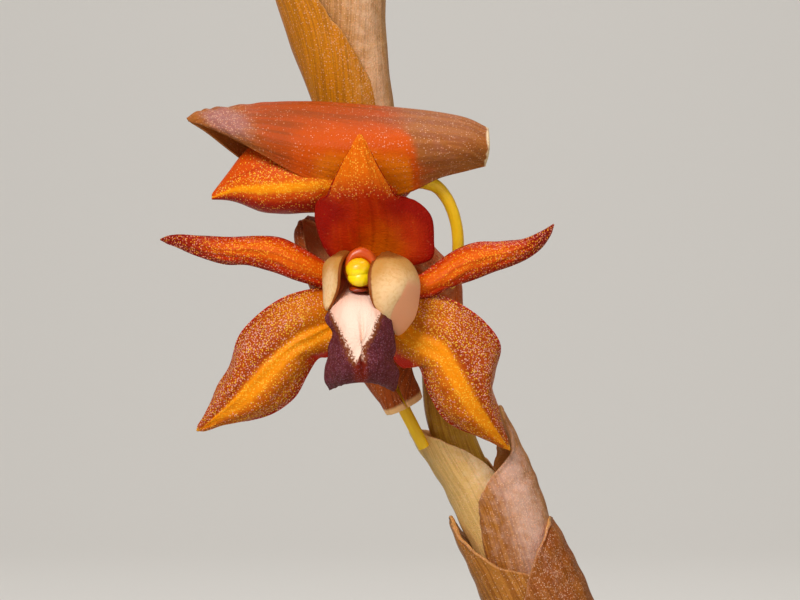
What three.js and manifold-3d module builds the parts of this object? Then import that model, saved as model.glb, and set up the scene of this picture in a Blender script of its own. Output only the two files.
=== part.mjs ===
// Potted coelogyne ecarinata: a clump of pseudobulbs with pleated leaves in a clay pot, and one tall
// spike that carries an open flower, a bud and their bracts. Millimetres, +Z up, the pot stands on z = 0
// with its centre at the origin, and the open flower faces -Y.
import * as THREE from "three";
import Module from "manifold-3d";

const wasm = await Module();
wasm.setup();

// Driving dimensions.
const GAP = 0.3; // clear distance left between touching pieces
const SKIN = 0.6; // thickness of every blade and sheath
const FLOWER = new THREE.Vector3(-28, -20, 225); // where the parts of the open flower join
const SIGHT = 333; // distance from which the flower was traced, straight along +Y
const SIGHT_COLUMN = 400; // column and row of the sight line on the 0.1 mm tracing grid
const SIGHT_ROW = 300;
const FLOWER_COLUMN = 365; // column and row of the flower's join on the same grid
const FLOWER_ROW = 290;
const GRID = 0.1;
const POT_HEIGHT = 78;
const POT_RIM_RADIUS = 46;
const POT_FOOT_RADIUS = 32;
const POT_WALL = 4.5;
const POT_FLOOR = 7;
const BAND_HEIGHT = 15;
const BAND_STEP = 2.6;
const DRAIN_RADIUS = 4;
const DRAIN_CIRCLE = 17;
const MEDIUM_TOP = 69;
const CHIP_COUNT = 14;

// A point of the tracing: column and row on the grid, and millimetres toward the viewer.
function traced([column, row, near]) {
  const spread = (GRID * (SIGHT - near)) / SIGHT;
  return new THREE.Vector3(
    FLOWER.x + (SIGHT_COLUMN - FLOWER_COLUMN) * GRID + (column - SIGHT_COLUMN) * spread,
    FLOWER.y - near,
    FLOWER.z + (FLOWER_ROW - SIGHT_ROW) * GRID + (SIGHT_ROW - row) * spread,
  );
}

// Repeatable random numbers from 0 to 1.
function randomFrom(seed) {
  let state = seed;
  return () => {
    state = (state * 1664525 + 1013904223) % 4294967296;
    return state / 4294967296;
  };
}

// The value at place t (0 to 1) of a list of numbers, joined by a smooth curve.
function smooth(values, t) {
  const span = values.length - 1;
  const at = Math.min(Math.max(t, 0), 1) * span;
  const i = Math.min(Math.floor(at), span - 1);
  const f = at - i;
  const b = values[i];
  const c = values[i + 1];
  const a = i > 0 ? values[i - 1] : 2 * b - c;
  const d = i + 2 <= span ? values[i + 2] : 2 * c - b;
  return b + 0.5 * f * (c - a + f * (2 * a - 5 * b + 4 * c - d + f * (3 * (b - c) + d - a)));
}

// The point at place t of a list of points.
function smoothPoint(points, t) {
  return new THREE.Vector3(
    smooth(points.map((p) => p.x), t),
    smooth(points.map((p) => p.y), t),
    smooth(points.map((p) => p.z), t),
  );
}

// A geometry from corner points and triangles, turned so that its faces look outwards.
function shell(points, triangles) {
  const turned = [...triangles];
  let volume = 0;
  for (let i = 0; i < triangles.length; i += 3) {
    const [a, b, c] = [points[triangles[i]], points[triangles[i + 1]], points[triangles[i + 2]]];
    volume += a.dot(b.clone().cross(c));
  }
  if (volume < 0) {
    for (let i = 0; i < turned.length; i += 3) {
      [turned[i + 1], turned[i + 2]] = [turned[i + 2], turned[i + 1]];
    }
  }
  const geometry = new THREE.BufferGeometry();
  const numbers = points.flatMap((p) => [p.x, p.y, p.z]);
  geometry.setAttribute("position", new THREE.Float32BufferAttribute(numbers, 3));
  geometry.setIndex(turned);
  return geometry;
}

// A thin curved sheet: surface(t, s) gives its middle, t from 0 to 1 and s from -1 to 1.
function sheet(surface, rows, columns, thickness = SKIN) {
  const middle = [];
  const step = 0.004;
  for (let i = 0; i <= rows; i += 1) {
    for (let j = 0; j <= columns; j += 1) {
      const t = i / rows;
      const s = (2 * j) / columns - 1;
      const along = surface(Math.min(t + step, 1), s).sub(surface(Math.max(t - step, 0), s));
      const across = surface(t, Math.min(s + step, 1)).sub(surface(t, Math.max(s - step, -1)));
      middle.push({ at: surface(t, s), normal: along.cross(across).normalize() });
    }
  }
  const count = middle.length;
  const points = [
    ...middle.map(({ at, normal }) => at.clone().addScaledVector(normal, thickness / 2)),
    ...middle.map(({ at, normal }) => at.clone().addScaledVector(normal, -thickness / 2)),
  ];
  const wide = columns + 1;
  const triangles = [];
  const quad = (a, b, c, d) => triangles.push(a, b, c, a, c, d);
  for (let i = 0; i < rows; i += 1) {
    for (let j = 0; j < columns; j += 1) {
      const a = i * wide + j;
      const [b, c, d] = [a + wide, a + wide + 1, a + 1];
      quad(a, b, c, d);
      triangles.push(count + a, count + c, count + b, count + a, count + d, count + c);
    }
  }
  const rim = [];
  for (let j = 0; j < columns; j += 1) rim.push(j);
  for (let i = 0; i < rows; i += 1) rim.push(i * wide + columns);
  for (let j = columns; j > 0; j -= 1) rim.push(rows * wide + j);
  for (let i = rows; i > 0; i -= 1) rim.push(i * wide);
  rim.forEach((a, k) => {
    const b = rim[(k + 1) % rim.length];
    quad(a, b, count + b, count + a);
  });
  return shell(points, triangles);
}

// A blade traced as stations from foot to tip, each a row of points from one edge to the other;
// puff lifts the two halves between edge and midrib toward the viewer, in millimetres.
function blade(stations, { rows, columns, puff = 0 }) {
  const rails = stations[0].map((_, k) => stations.map((station) => traced(station[k])));
  const plain = (t, s) => smoothPoint(rails.map((rail) => smoothPoint(rail, t)), (s + 1) / 2);
  const surface = (t, s) => {
    const at = plain(t, s);
    if (puff === 0) return at;
    const width = plain(t, 1).distanceTo(plain(t, -1));
    const lift = puff * Math.min(width / 6, 1) * Math.sin(Math.PI * Math.abs(s)) ** 2;
    return at.add(new THREE.Vector3(0, -lift, 0));
  };
  return sheet(surface, rows, columns);
}

// A solid drawn through rings of points, closed at both ends.
function loft(rings) {
  const sides = rings[0].length;
  const points = rings.flat();
  const triangles = [];
  for (let i = 0; i + 1 < rings.length; i += 1) {
    for (let j = 0; j < sides; j += 1) {
      const [a, b] = [i * sides + j, i * sides + ((j + 1) % sides)];
      triangles.push(a, b, b + sides, a, b + sides, a + sides);
    }
  }
  [rings[0], rings.at(-1)].forEach((ring, end) => {
    const first = end ? (rings.length - 1) * sides : 0;
    const middle = ring.reduce((sum, p) => sum.add(p), new THREE.Vector3()).divideScalar(sides);
    points.push(middle);
    const centre = points.length - 1;
    for (let j = 0; j < sides; j += 1) {
      const [a, b] = [first + j, first + ((j + 1) % sides)];
      triangles.push(...(end ? [a, b, centre] : [b, a, centre]));
    }
  });
  return shell(points, triangles);
}

// The directions across a stem that runs along `along`: one to the right, one toward the viewer.
function crossways(along) {
  const front = new THREE.Vector3(0, -1, 0);
  front.addScaledVector(along, -front.dot(along)).normalize();
  return { right: along.clone().cross(front).normalize(), front };
}

// A place on a stem: centre, radius and the directions across it. Knots are { at, radius }.
function stemPlace(knots, t) {
  const points = knots.map((knot) => knot.at);
  const at = smoothPoint(points, t);
  const ahead = smoothPoint(points, Math.min(t + 0.01, 1));
  const behind = smoothPoint(points, Math.max(t - 0.01, 0));
  const along = ahead.sub(behind).normalize();
  return { at, radius: smooth(knots.map((knot) => knot.radius), t), ...crossways(along) };
}

// A point beside a stem, at an angle from the right (0) by the front (90) to the left (180).
function beside({ at, right, front }, degrees, radius) {
  const angle = (degrees * Math.PI) / 180;
  return at
    .clone()
    .addScaledVector(right, radius * Math.cos(angle))
    .addScaledVector(front, radius * Math.sin(angle));
}

// A round stem through knots.
function stem(knots, steps, sides) {
  return loft(
    Array.from({ length: steps + 1 }, (_, i) => {
      const place = stemPlace(knots, i / steps);
      return Array.from({ length: sides }, (_unused, j) => beside(place, (360 * j) / sides, place.radius));
    }),
  );
}

// A sheath or bract rolled round a line of knots, from foot to tip; the margins are the angles at which
// its two edges run, given from foot to tip.
function rolled({ knots, front, back, rows, columns }) {
  return sheet(
    (t, s) => {
      const place = stemPlace(knots, t);
      const degrees = smooth(back, t) + ((s + 1) / 2) * (smooth(front, t) - smooth(back, t));
      return beside(place, degrees, place.radius);
    },
    rows,
    columns,
  );
}

// Knots from traced rows of column, row, near and radius.
function tracedKnots(list) {
  return list.map(([column, row, near, radius]) => ({ at: traced([column, row, near]), radius }));
}

// Solid geometry of a closed mesh, and back.
function solidOf(geometry) {
  return new wasm.Manifold(
    new wasm.Mesh({
      numProp: 3,
      vertProperties: new Float32Array(geometry.attributes.position.array),
      triVerts: new Uint32Array(geometry.index.array),
    }),
  );
}
function geometryOf(solid) {
  const mesh = solid.getMesh();
  const geometry = new THREE.BufferGeometry();
  geometry.setAttribute("position", new THREE.BufferAttribute(new Float32Array(mesh.vertProperties), 3));
  geometry.setIndex(new THREE.BufferAttribute(new Uint32Array(mesh.triVerts), 1));
  return geometry;
}

// Several closed meshes that grow together as one.
function joined(geometries) {
  const [first, ...rest] = geometries.map(solidOf);
  return geometryOf(rest.reduce((sum, piece) => sum.add(piece), first));
}

// The same closed mesh, swollen by the gap along its corner normals.
function swollen(geometry) {
  const grown = geometry.clone();
  grown.computeVertexNormals();
  const { position, normal } = grown.attributes;
  for (let i = 0; i < position.count; i += 1) {
    const n = new THREE.Vector3().fromBufferAttribute(normal, i);
    const p = new THREE.Vector3().fromBufferAttribute(position, i).addScaledVector(n, GAP);
    position.setXYZ(i, p.x, p.y, p.z);
  }
  return grown;
}

// Cuts every piece clear of the pieces listed before it, and keeps its largest body.
function cutClear(pieces) {
  const kept = [];
  for (const { name, geometry, finish } of pieces) {
    geometry.computeBoundingBox();
    let solid = solidOf(geometry);
    const room = geometry.boundingBox.clone().expandByScalar(2 * GAP);
    const touched = kept.filter((other) => {
      other.geometry.computeBoundingBox();
      return other.geometry.boundingBox.intersectsBox(room);
    });
    for (const other of touched) {
      const cutter = other.cutter ?? solidOf(swollen(other.geometry));
      other.cutter = cutter;
      if (solid.intersect(cutter).volume() > 0) solid = solid.subtract(cutter);
    }
    const bodies = solid.decompose().sort((a, b) => b.volume() - a.volume());
    kept.push({ name, geometry: geometryOf(bodies[0]), finish });
  }
  return kept;
}

// Finishes: colour, roughness.
const CLAY = ["#b5623c", 0.85];
const BARK = ["#4a3222", 0.95];
const RHIZOME = ["#6f5a34", 0.8];
const BULB = ["#6f8a35", 0.45];
const LEAF = ["#3f6b27", 0.45];
const PAPERY = ["#b08d5b", 0.8];
const SPIKE = ["#af6f18", 0.5];
const PALE_SHEATH = ["#dbb085", 0.5];
const BROWN_SHEATH = ["#b0703a", 0.5];
const BRACT = ["#a8683a", 0.45];
const STALK = ["#f0a800", 0.45];
const SEPAL = ["#c94408", 0.5];
const LATERAL = ["#cf5a12", 0.5];
const PETAL = ["#bb2f00", 0.5];
const BUD = ["#e07f05", 0.5];
const LIP = ["#6a292f", 0.6];
const COLUMN = ["#e86800", 0.4];
const ANTHER = ["#ffdb03", 0.4];

// The pot: a turned clay pot with a banded rim, a shallow hollow inside and four drain holes round a
// solid centre.
function pot() {
  const band = POT_RIM_RADIUS - BAND_STEP;
  const outer = (z) => POT_FOOT_RADIUS + ((band - POT_FOOT_RADIUS) * z) / POT_HEIGHT;
  const bandFoot = POT_HEIGHT - BAND_HEIGHT;
  const profile = [
    [0, 0],
    [POT_FOOT_RADIUS - 1, 0],
    [POT_FOOT_RADIUS, 1],
    [outer(bandFoot), bandFoot],
    [outer(bandFoot) + BAND_STEP, bandFoot + 1],
    [POT_RIM_RADIUS, POT_HEIGHT - 1],
    [POT_RIM_RADIUS - 1, POT_HEIGHT],
    [POT_RIM_RADIUS - POT_WALL, POT_HEIGHT],
    [POT_RIM_RADIUS - POT_WALL - 1, POT_HEIGHT - 1],
    [POT_FOOT_RADIUS - POT_WALL + 1, POT_FLOOR + 1],
    [POT_FOOT_RADIUS - POT_WALL, POT_FLOOR],
    [0, POT_FLOOR],
  ];
  const turned = ringBody(profile, 32);
  const drills = [0, 1, 2, 3].map((k) => {
    const angle = Math.PI / 4 + (k * Math.PI) / 2;
    const middle = new THREE.Vector3(DRAIN_CIRCLE * Math.cos(angle), DRAIN_CIRCLE * Math.sin(angle), 0);
    return loft(
      [-1, POT_FLOOR + 1].map((z) =>
        Array.from({ length: 12 }, (_, j) => {
          const turn = (j * Math.PI) / 6;
          const offset = new THREE.Vector3(Math.cos(turn), Math.sin(turn), 0).multiplyScalar(DRAIN_RADIUS);
          return middle.clone().add(offset).setZ(z);
        }),
      ),
    );
  });
  return geometryOf(drills.reduce((left, drill) => left.subtract(solidOf(drill)), solidOf(turned)));
}

// A body turned about the vertical axis from a profile that starts and ends on the axis.
function ringBody(profile, sides) {
  const points = [new THREE.Vector3(0, 0, profile[0][1]), new THREE.Vector3(0, 0, profile.at(-1)[1])];
  const inner = profile.slice(1, -1);
  inner.forEach(([radius, z]) => {
    for (let j = 0; j < sides; j += 1) {
      const angle = (2 * Math.PI * j) / sides;
      points.push(new THREE.Vector3(radius * Math.cos(angle), radius * Math.sin(angle), z));
    }
  });
  const corner = (i, j) => 2 + i * sides + (j % sides);
  const triangles = [];
  for (let j = 0; j < sides; j += 1) {
    triangles.push(0, corner(0, j + 1), corner(0, j));
    for (let i = 0; i + 1 < inner.length; i += 1) {
      triangles.push(corner(i, j), corner(i, j + 1), corner(i + 1, j + 1));
      triangles.push(corner(i, j), corner(i + 1, j + 1), corner(i + 1, j));
    }
    triangles.push(1, corner(inner.length - 1, j), corner(inner.length - 1, j + 1));
  }
  return shell(points, triangles);
}

// The growing medium: a plug that fills the pot, its top uneven and strewn with bark chips.
function medium() {
  const random = randomFrom(11);
  const inside = (z) => {
    const share = (z - POT_FLOOR - 1) / (POT_HEIGHT - 2 - POT_FLOOR);
    const foot = POT_FOOT_RADIUS - POT_WALL + 1;
    return foot + share * (POT_RIM_RADIUS - POT_WALL - 1 - foot) - GAP - 0.2;
  };
  const foot = POT_FLOOR + 1 + GAP;
  const sides = 24;
  const ring = (radius, height) =>
    Array.from({ length: sides }, (_, j) => {
      const angle = (2 * Math.PI * j) / sides;
      return new THREE.Vector3(radius * Math.cos(angle), radius * Math.sin(angle), height());
    });
  const plug = loft([
    ring(inside(foot), () => foot),
    ring(inside(MEDIUM_TOP - 3), () => MEDIUM_TOP - 3),
    ring(inside(MEDIUM_TOP - 3) - 2, () => MEDIUM_TOP - 1 + random() * 1.2),
    ring(27, () => MEDIUM_TOP + random() * 1.5),
    ring(14, () => MEDIUM_TOP + 0.5 + random() * 1.5),
  ]);
  const chips = Array.from({ length: CHIP_COUNT }, () => {
    const size = new THREE.Vector3(5 + 6 * random(), 4 + 3 * random(), 2.5 + 2 * random());
    const chip = new THREE.IcosahedronGeometry(0.62, 0).scale(size.x, size.y, size.z);
    chip.rotateX((random() - 0.5) * 0.9).rotateY((random() - 0.5) * 0.9).rotateZ(6.28 * random());
    const reach = 34 * Math.sqrt(random());
    const turn = 6.28 * random();
    chip.translate(reach * Math.cos(turn), reach * Math.sin(turn), MEDIUM_TOP + 0.2 + random());
    return welded(chip);
  });
  return joined([plug, ...chips]);
}

// A closed mesh whose equal corners are made one.
function welded(geometry) {
  const { position } = geometry.attributes;
  const found = new Map();
  const points = [];
  const triangles = [];
  for (let i = 0; i < position.count; i += 1) {
    const p = new THREE.Vector3().fromBufferAttribute(position, i);
    const key = p.toArray().map((v) => v.toFixed(4)).join();
    if (!found.has(key)) {
      found.set(key, points.length);
      points.push(p);
    }
    triangles.push(found.get(key));
  }
  return shell(points, triangles);
}

// The clump: feet and tops of the pseudobulbs, oldest last.
const BULBS = [
  { foot: [15, -5, 73], top: [18, -2, 119], width: 17 },
  { foot: [2, 4, 73], top: [1, 7, 116], width: 16 },
  { foot: [-11, 10, 72], top: [-16, 13, 111], width: 15 },
  { foot: [-22, 17, 71], top: [-30, 22, 106], width: 14 },
  { foot: [13, 19, 72], top: [19, 27, 110], width: 15 },
];

// A pseudobulb: egg-shaped, drawn out at the top, with four blunt edges.
function pseudobulb({ foot, top, width }, turn) {
  const widths = [0.35, 0.78, 0.98, 1, 0.93, 0.78, 0.58, 0.4, 0.3];
  const rings = widths.map((share, i) => {
    const t = i / (widths.length - 1);
    const middle = new THREE.Vector3(...foot).lerp(new THREE.Vector3(...top), t);
    middle.x += 1.2 * Math.sin(Math.PI * t) * Math.cos(turn);
    return Array.from({ length: 12 }, (_, j) => {
      const angle = (2 * Math.PI * j) / 12;
      const ridge = 1 + 0.07 * Math.cos(4 * angle) * Math.sin(Math.PI * t);
      const radius = (width / 2) * share * ridge;
      return middle
        .clone()
        .add(new THREE.Vector3(radius * Math.cos(angle + turn), radius * Math.sin(angle + turn), 0));
    });
  });
  return loft(rings);
}

// A leaf: a channelled stalk that widens into a pleated blade and arches away from the bulb.
// heading is the compass turn in degrees, rise and fall are the slopes at foot and tip in degrees.
const LEAVES = [
  { bulb: 0, heading: -35, length: 138, width: 27, rise: 74, fall: -2, roll: 6 },
  { bulb: 0, heading: 42, length: 146, width: 28, rise: 80, fall: 22, roll: -8 },
  { bulb: 1, heading: 250, length: 116, width: 25, rise: 60, fall: -48, roll: 5 },
  { bulb: 1, heading: 95, length: 112, width: 26, rise: 62, fall: -25, roll: 4 },
  { bulb: 2, heading: 205, length: 110, width: 24, rise: 58, fall: -35, roll: -6 },
  { bulb: 2, heading: 130, length: 104, width: 23, rise: 60, fall: -30, roll: 5 },
  { bulb: 3, heading: 165, length: 92, width: 21, rise: 52, fall: -40, roll: 3 },
  { bulb: 4, heading: 70, length: 128, width: 26, rise: 72, fall: -8, roll: -5 },
  { bulb: 4, heading: 0, length: 118, width: 24, rise: 56, fall: -30, roll: 7 },
];

function leaf({ bulb, heading, length, width, rise, fall, roll }) {
  const radians = Math.PI / 180;
  const out = new THREE.Vector3(Math.cos(heading * radians), Math.sin(heading * radians), 0);
  const [x, y, z] = BULBS[bulb].top;
  const foot = new THREE.Vector3(x, y, z).addScaledVector(out, 1.7);
  foot.z += 0.6;
  const steps = 40;
  const line = [foot];
  for (let i = 0; i < steps; i += 1) {
    const share = (i + 0.5) / steps;
    const slope = (rise + (fall - rise) * share ** 1.6) * radians;
    const step = out.clone().multiplyScalar(Math.cos(slope)).setZ(Math.sin(slope));
    line.push(line[i].clone().addScaledVector(step, length / steps));
  }
  const widths = [0.09, 0.12, 0.28, 0.62, 0.88, 1, 0.98, 0.84, 0.56, 0.22, 0.02];
  const surface = (t, s) => {
    const at = smoothPoint(line, t);
    const behind = smoothPoint(line, Math.max(t - 0.01, 0));
    const along = smoothPoint(line, Math.min(t + 0.01, 1)).sub(behind).normalize();
    const side = new THREE.Vector3(-out.y, out.x, 0).applyAxisAngle(along, roll * t * radians * 3);
    const up = side.clone().cross(along).negate();
    const half = (width / 2) * smooth(widths, t);
    const channel = 0.32 * half * Math.abs(s) ** 1.3;
    const wave = 0.05 * half * Math.sin(9 * t + 2 * s) * s * s;
    return at.addScaledVector(side, half * s).addScaledVector(up, channel + wave);
  };
  return sheet(surface, 12, 4, 0.7);
}

// The rhizome: a creeping stem that joins the feet of the pseudobulbs, with a few roots over the medium.
function rhizome() {
  const feet = [
    [24, -9, 70.6, 2.4],
    [15, -5, 71.4, 3.4],
    [8, 0, 70.6, 2.6],
    [2, 4, 71.2, 3.3],
    [-5, 8, 70.4, 2.5],
    [-11, 10, 70.8, 3.2],
    [-17, 14, 70, 2.5],
    [-22, 17, 69.8, 3],
    [-29, 20, 69, 1.8],
  ].map(([x, y, z, radius]) => ({ at: new THREE.Vector3(x, y, z), radius }));
  const branch = [
    [2, 4, 70.8, 2.4],
    [7, 12, 70.6, 2.4],
    [13, 19, 71, 3.1],
    [17, 24, 70, 1.8],
  ].map(([x, y, z, radius]) => ({ at: new THREE.Vector3(x, y, z), radius }));
  const roots = [
    [[15, -5], [22, -18], [19, -30], [24, -36]],
    [[8, 0], [-2, -10], [-8, -24], [-5, -35]],
    [[-17, 14], [-22, 26], [-18, 34], [-22, 38]],
    [[17, 22], [27, 24], [32, 14], [37, 12]],
  ].map((way, k) =>
    way.map(([x, y], i) => ({
      at: new THREE.Vector3(x, y, [70.5, 70.6, 70.2, 67][i] + 0.3 * (k % 2)),
      radius: [1.1, 1, 0.95, 0.8][i],
    })),
  );
  return joined([stem(feet, 12, 8), stem(branch, 5, 7), ...roots.map((root) => stem(root, 4, 4))]);
}

// Papery sheaths round the feet of the two newest pseudobulbs.
function bulbSheath({ foot, top, width }, height, turn) {
  const low = new THREE.Vector3(...foot);
  const high = new THREE.Vector3(...top);
  const knots = [0.02, 0.14, 0.3, 0.46, 0.6].map((share, i) => ({
    at: low.clone().lerp(high, share * height),
    radius: (width / 2) * [0.66, 1, 1.12, 1.14, 1.06][i] + 1.4,
  }));
  const spread = [150, 148, 120, 70, 6];
  return rolled({
    knots,
    front: spread.map((angle) => turn + angle),
    back: spread.map((angle) => turn - angle),
    rows: 6,
    columns: 8,
  });
}

// The spike's stem, from the newest pseudobulb to the tip.
const STEM = [
  ...[
    [18, -2, 119.8, 1.9],
    [14.5, -4, 131, 1.55],
    [8.2, -7, 148, 1.5],
    [1.2, -9.6, 165, 1.6],
  ].map(([x, y, z, radius]) => ({ at: new THREE.Vector3(x, y, z), radius })),
  ...tracedKnots([
    [597, 740, -9.6, 1.8],
    [560, 662, -9.6, 2],
    [534, 600, -9.6, 2.1],
    [506, 545, -9.6, 2.1],
    [482, 498, -9.7, 2.1],
    [459, 450, -9.8, 2.1],
    [446, 410, -10, 2.2],
    [442, 350, -10.2, 2.2],
    [441, 302, -10.4, 2.25],
    [437, 283, -10.6, 2.3],
    [419, 259, -10.9, 2.05],
    [404, 234, -11.2, 1.9],
    [389, 203, -11.4, 1.75],
    [377, 160, -11.2, 1.6],
    [370, 115, -10.4, 1.35],
    [364, 60, -9.8, 1.2],
    [357, 0, -9.4, 1.1],
    [352, -60, -9.2, 0.9],
    [351, -110, -9.2, 0.7],
  ]),
];

// The sheaths of the spike, each rolled round its own line from foot to tip.
const SHEATHS = {
  sheath_pale: {
    finish: PALE_SHEATH,
    knots: [
      [508, 549, -9.7, 3],
      [490, 513, -9.7, 2.95],
      [474, 480, -9.8, 2.9],
      [457, 452, -9.9, 2.9],
      [443, 428, -9.9, 3],
      [436, 414, -9.9, 2.95],
    ],
    front: [330, 330, 322, 295, 250, 195],
    back: [20, 25, 45, 78, 120, 165],
  },
  sheath_upper_right: {
    finish: BROWN_SHEATH,
    knots: [
      [523, 566, -9.6, 3.9],
      [513, 540, -9.5, 4],
      [504, 510, -9.4, 4],
      [498, 493, -9.4, 3.95],
      [493, 480, -9.4, 3.9],
      [486, 463, -9.5, 3.85],
      [477, 442, -9.6, 3.75],
      [467, 421, -9.8, 3.6],
    ],
    front: [150, 140, 130, 121, 100, 48, 26, 3],
    back: [-140, -130, -115, -105, -95, -75, -45, -5],
  },
  sheath_upper_left: {
    finish: BROWN_SHEATH,
    knots: [
      [548, 628, -9.5, 4.7],
      [534, 598, -9.4, 4.7],
      [522, 572, -9.4, 4.65],
      [510, 546, -9.4, 4.55],
      [496, 518, -9.5, 4.4],
      [488, 500, -9.6, 4.2],
    ],
    front: [340, 335, 322, 262, 215, 186],
    back: [30, 45, 85, 125, 155, 178],
  },
  sheath_lower_right: {
    finish: BROWN_SHEATH,
    knots: [
      [566, 672, -9.5, 5.1],
      [551, 638, -9.4, 5.3],
      [538, 607, -9.4, 5.3],
      [526, 580, -9.4, 5.2],
      [516, 556, -9.5, 5.05],
      [507, 538, -9.6, 4.8],
    ],
    front: [165, 150, 115, 90, 62, 10],
    back: [-160, -140, -115, -80, -45, -2],
  },
  sheath_lower_left: {
    finish: BROWN_SHEATH,
    knots: [
      [592, 727, -9.5, 4.3],
      [580, 700, -9.5, 5.2],
      [568, 674, -9.4, 5.8],
      [556, 648, -9.4, 5.9],
      [546, 626, -9.5, 5.8],
      [540, 612, -9.6, 5.6],
    ],
    front: [340, 330, 310, 262, 215, 186],
    back: [20, 30, 50, 105, 150, 178],
  },
  sheath_foot: {
    finish: PAPERY,
    knots: [
      [612, 778, -9.5, 2.5],
      [602, 752, -9.5, 3.4],
      [591, 726, -9.4, 4.9],
      [580, 700, -9.4, 6.2],
      [570, 678, -9.5, 6.5],
      [563, 662, -9.6, 6.5],
    ],
    front: [165, 150, 120, 80, 40, 6],
    back: [-165, -150, -120, -80, -40, -4],
  },
};

// The bracts: one torn from its node behind the open flower, one over the bud, two at the tip.
const BRACTS = {
  floral_bract_open: {
    finish: BRACT,
    knots: [
      [404, 405, -6.6, 1.75],
      [394, 385, -6.2, 2],
      [377, 350, -6.2, 2.7],
      [352, 302, -6.2, 3],
      [329, 262, -6.2, 2.6],
      [312, 234, -6.2, 1.7],
      [303, 220, -6.2, 0.5],
    ],
    front: [442, 438, 420, 390, 385, 400, 420],
    back: [86, 92, 108, 135, 135, 120, 105],
  },
  floral_bract_tip_left: {
    finish: BRACT,
    knots: [
      [364, 142, -9.9, 2.4],
      [352, 105, -9.6, 3.3],
      [337, 50, -9.4, 4],
      [321, 0, -9.4, 4.2],
      [299, -60, -9.6, 3.5],
      [276, -124, -9.9, 1.8],
      [264, -158, -10, 0.4],
    ],
    front: [340, 325, 305, 285, 265, 235, 200],
    back: [20, 40, 70, 95, 110, 135, 165],
  },
  floral_bract_tip_right: {
    finish: BRACT,
    knots: [
      [371, 128, -9.8, 2.2],
      [366, 92, -9.4, 2.35],
      [356, 48, -9, 2.95],
      [346, 0, -8.8, 3.8],
      [341, -62, -8.8, 3.9],
      [348, -130, -8.9, 2.8],
      [355, -190, -9, 1.5],
      [359, -222, -9, 0.4],
    ],
    front: [170, 165, 165, 162, 150, 125, 90, 60],
    back: [-165, -150, -130, -110, -90, -70, -50, -30],
  },
};

// The bract over the bud: a boat with its keel on top, near edge, keel and far edge from foot to tip.
const BUD_BRACT = [
  [[485, 166, -1.2], [488, 147, 0.2], [487, 131, -2.4], [484, 146, -5], [480, 164, -4.6]],
  [[466, 171, -0.4], [467, 145, 1.6], [466, 121, -2.4], [463, 145, -6.2], [460, 169, -5.2]],
  [[438, 178, -0.2], [438, 145, 2.4], [437, 115, -2.4], [436, 145, -6.8], [434, 174, -5.6]],
  [[405, 193, -0.2], [404, 146, 2.9], [403, 111, -2.4], [404, 146, -7.2], [405, 184, -5.9]],
  [[365, 196, 0.2], [363, 146, 3.1], [362, 107.5, -2.4], [363, 146, -7.3], [366, 188, -6]],
  [[328, 187, 1], [322, 143, 3], [318, 104.5, -2.4], [322, 145, -7.2], [326, 186, -6]],
  [[293, 172, 1.6], [283, 138, 2.6], [276, 104.8, -2.4], [282, 145, -6.8], [290, 182, -5.9]],
  [[263, 155, 1.6], [251, 132, 1.8], [241, 108, -2.4], [249, 140, -6], [258, 170, -5.6]],
  [[234, 139, 0.8], [224, 126, 0.6], [214, 111, -2.4], [222, 132, -5], [232, 152, -4.8]],
  [[207, 127, -0.6], [203, 121, -0.8], [199, 114.5, -2.4], [202, 123, -3.8], [207, 133, -3.8]],
  [[188.5, 120.5, -2], [188, 120, -2.1], [187, 119, -2.4], [188, 120, -2.7], [188.5, 121, -2.8]],
];

const DORSAL = [
  [[354, 282, -1.4], [364, 283, -1.6], [374, 282, -1.4]],
  [[341, 268, -0.9], [367, 268, -0.9], [405, 268, -0.9]],
  [[328, 254, -0.4], [370, 250, 0.2], [431, 259, -0.6]],
  [[320, 238, 0.2], [372, 235, 1.4], [434, 240, -0.2]],
  [[315, 219, 1], [371, 218, 2.8], [431, 216, 0.6]],
  [[317, 202, 2], [369, 202, 4.4], [414, 200, 1.6]],
  [[326, 196, 3.2], [365, 190, 5.6], [398, 197, 3]],
  [[331.5, 184, 4.6], [362, 175, 6.4], [389, 184, 4.6]],
  [[341, 165, 5.8], [360.5, 158, 6.8], [377.5, 165, 5.8]],
  [[350.5, 149, 6.4], [360, 145, 6.9], [369, 149, 6.4]],
  [[358.5, 135, 6.9], [360, 134, 7], [361.5, 135, 6.9]],
];

const PETAL_RIGHT = [
  [[385, 284, -1.3], [386, 288, -1.3], [387, 293, -1.3]],
  [[415, 277, -0.2], [417, 287, 0.6], [420, 300, -0.2]],
  [[434, 265, 0], [440, 279, 1.2], [449, 288, 0.2]],
  [[455, 250, -0.2], [461, 266, 1.2], [467, 282, 0]],
  [[478, 242.5, -0.6], [483, 259, 0.8], [490, 273, -0.4]],
  [[500, 242, -1.2], [505, 254, 0], [510, 266, -1]],
  [[522, 239.5, -2], [526, 248, -1.2], [530, 257, -2]],
  [[540, 232, -3], [542, 237, -2.8], [545, 243, -3.2]],
  [[553, 224, -4], [553.4, 224.6, -4], [553.8, 225.2, -4]],
];

const PETAL_LEFT = [
  [[345, 280, -1.3], [344, 285, -1.3], [344, 290, -1.3]],
  [[325, 262, -0.3], [325, 275, 0.4], [325, 288, -0.3]],
  [[300, 247, 0.2], [298, 264, 1.2], [296, 280, 0.2]],
  [[280, 237.5, 0.2], [277, 254, 1.2], [272, 271.5, 0.1]],
  [[255, 236.5, 0], [252, 250, 1], [249, 265, 0]],
  [[225, 237.5, -0.4], [225, 250, 0.6], [226, 264, -0.4]],
  [[200, 236, -1], [200, 245.5, -0.2], [200, 257, -1]],
  [[177, 235, -2], [178, 240.5, -1.6], [180, 248, -2]],
  [[161, 239, -3], [161, 239.5, -3], [161.5, 240, -3]],
];

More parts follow.
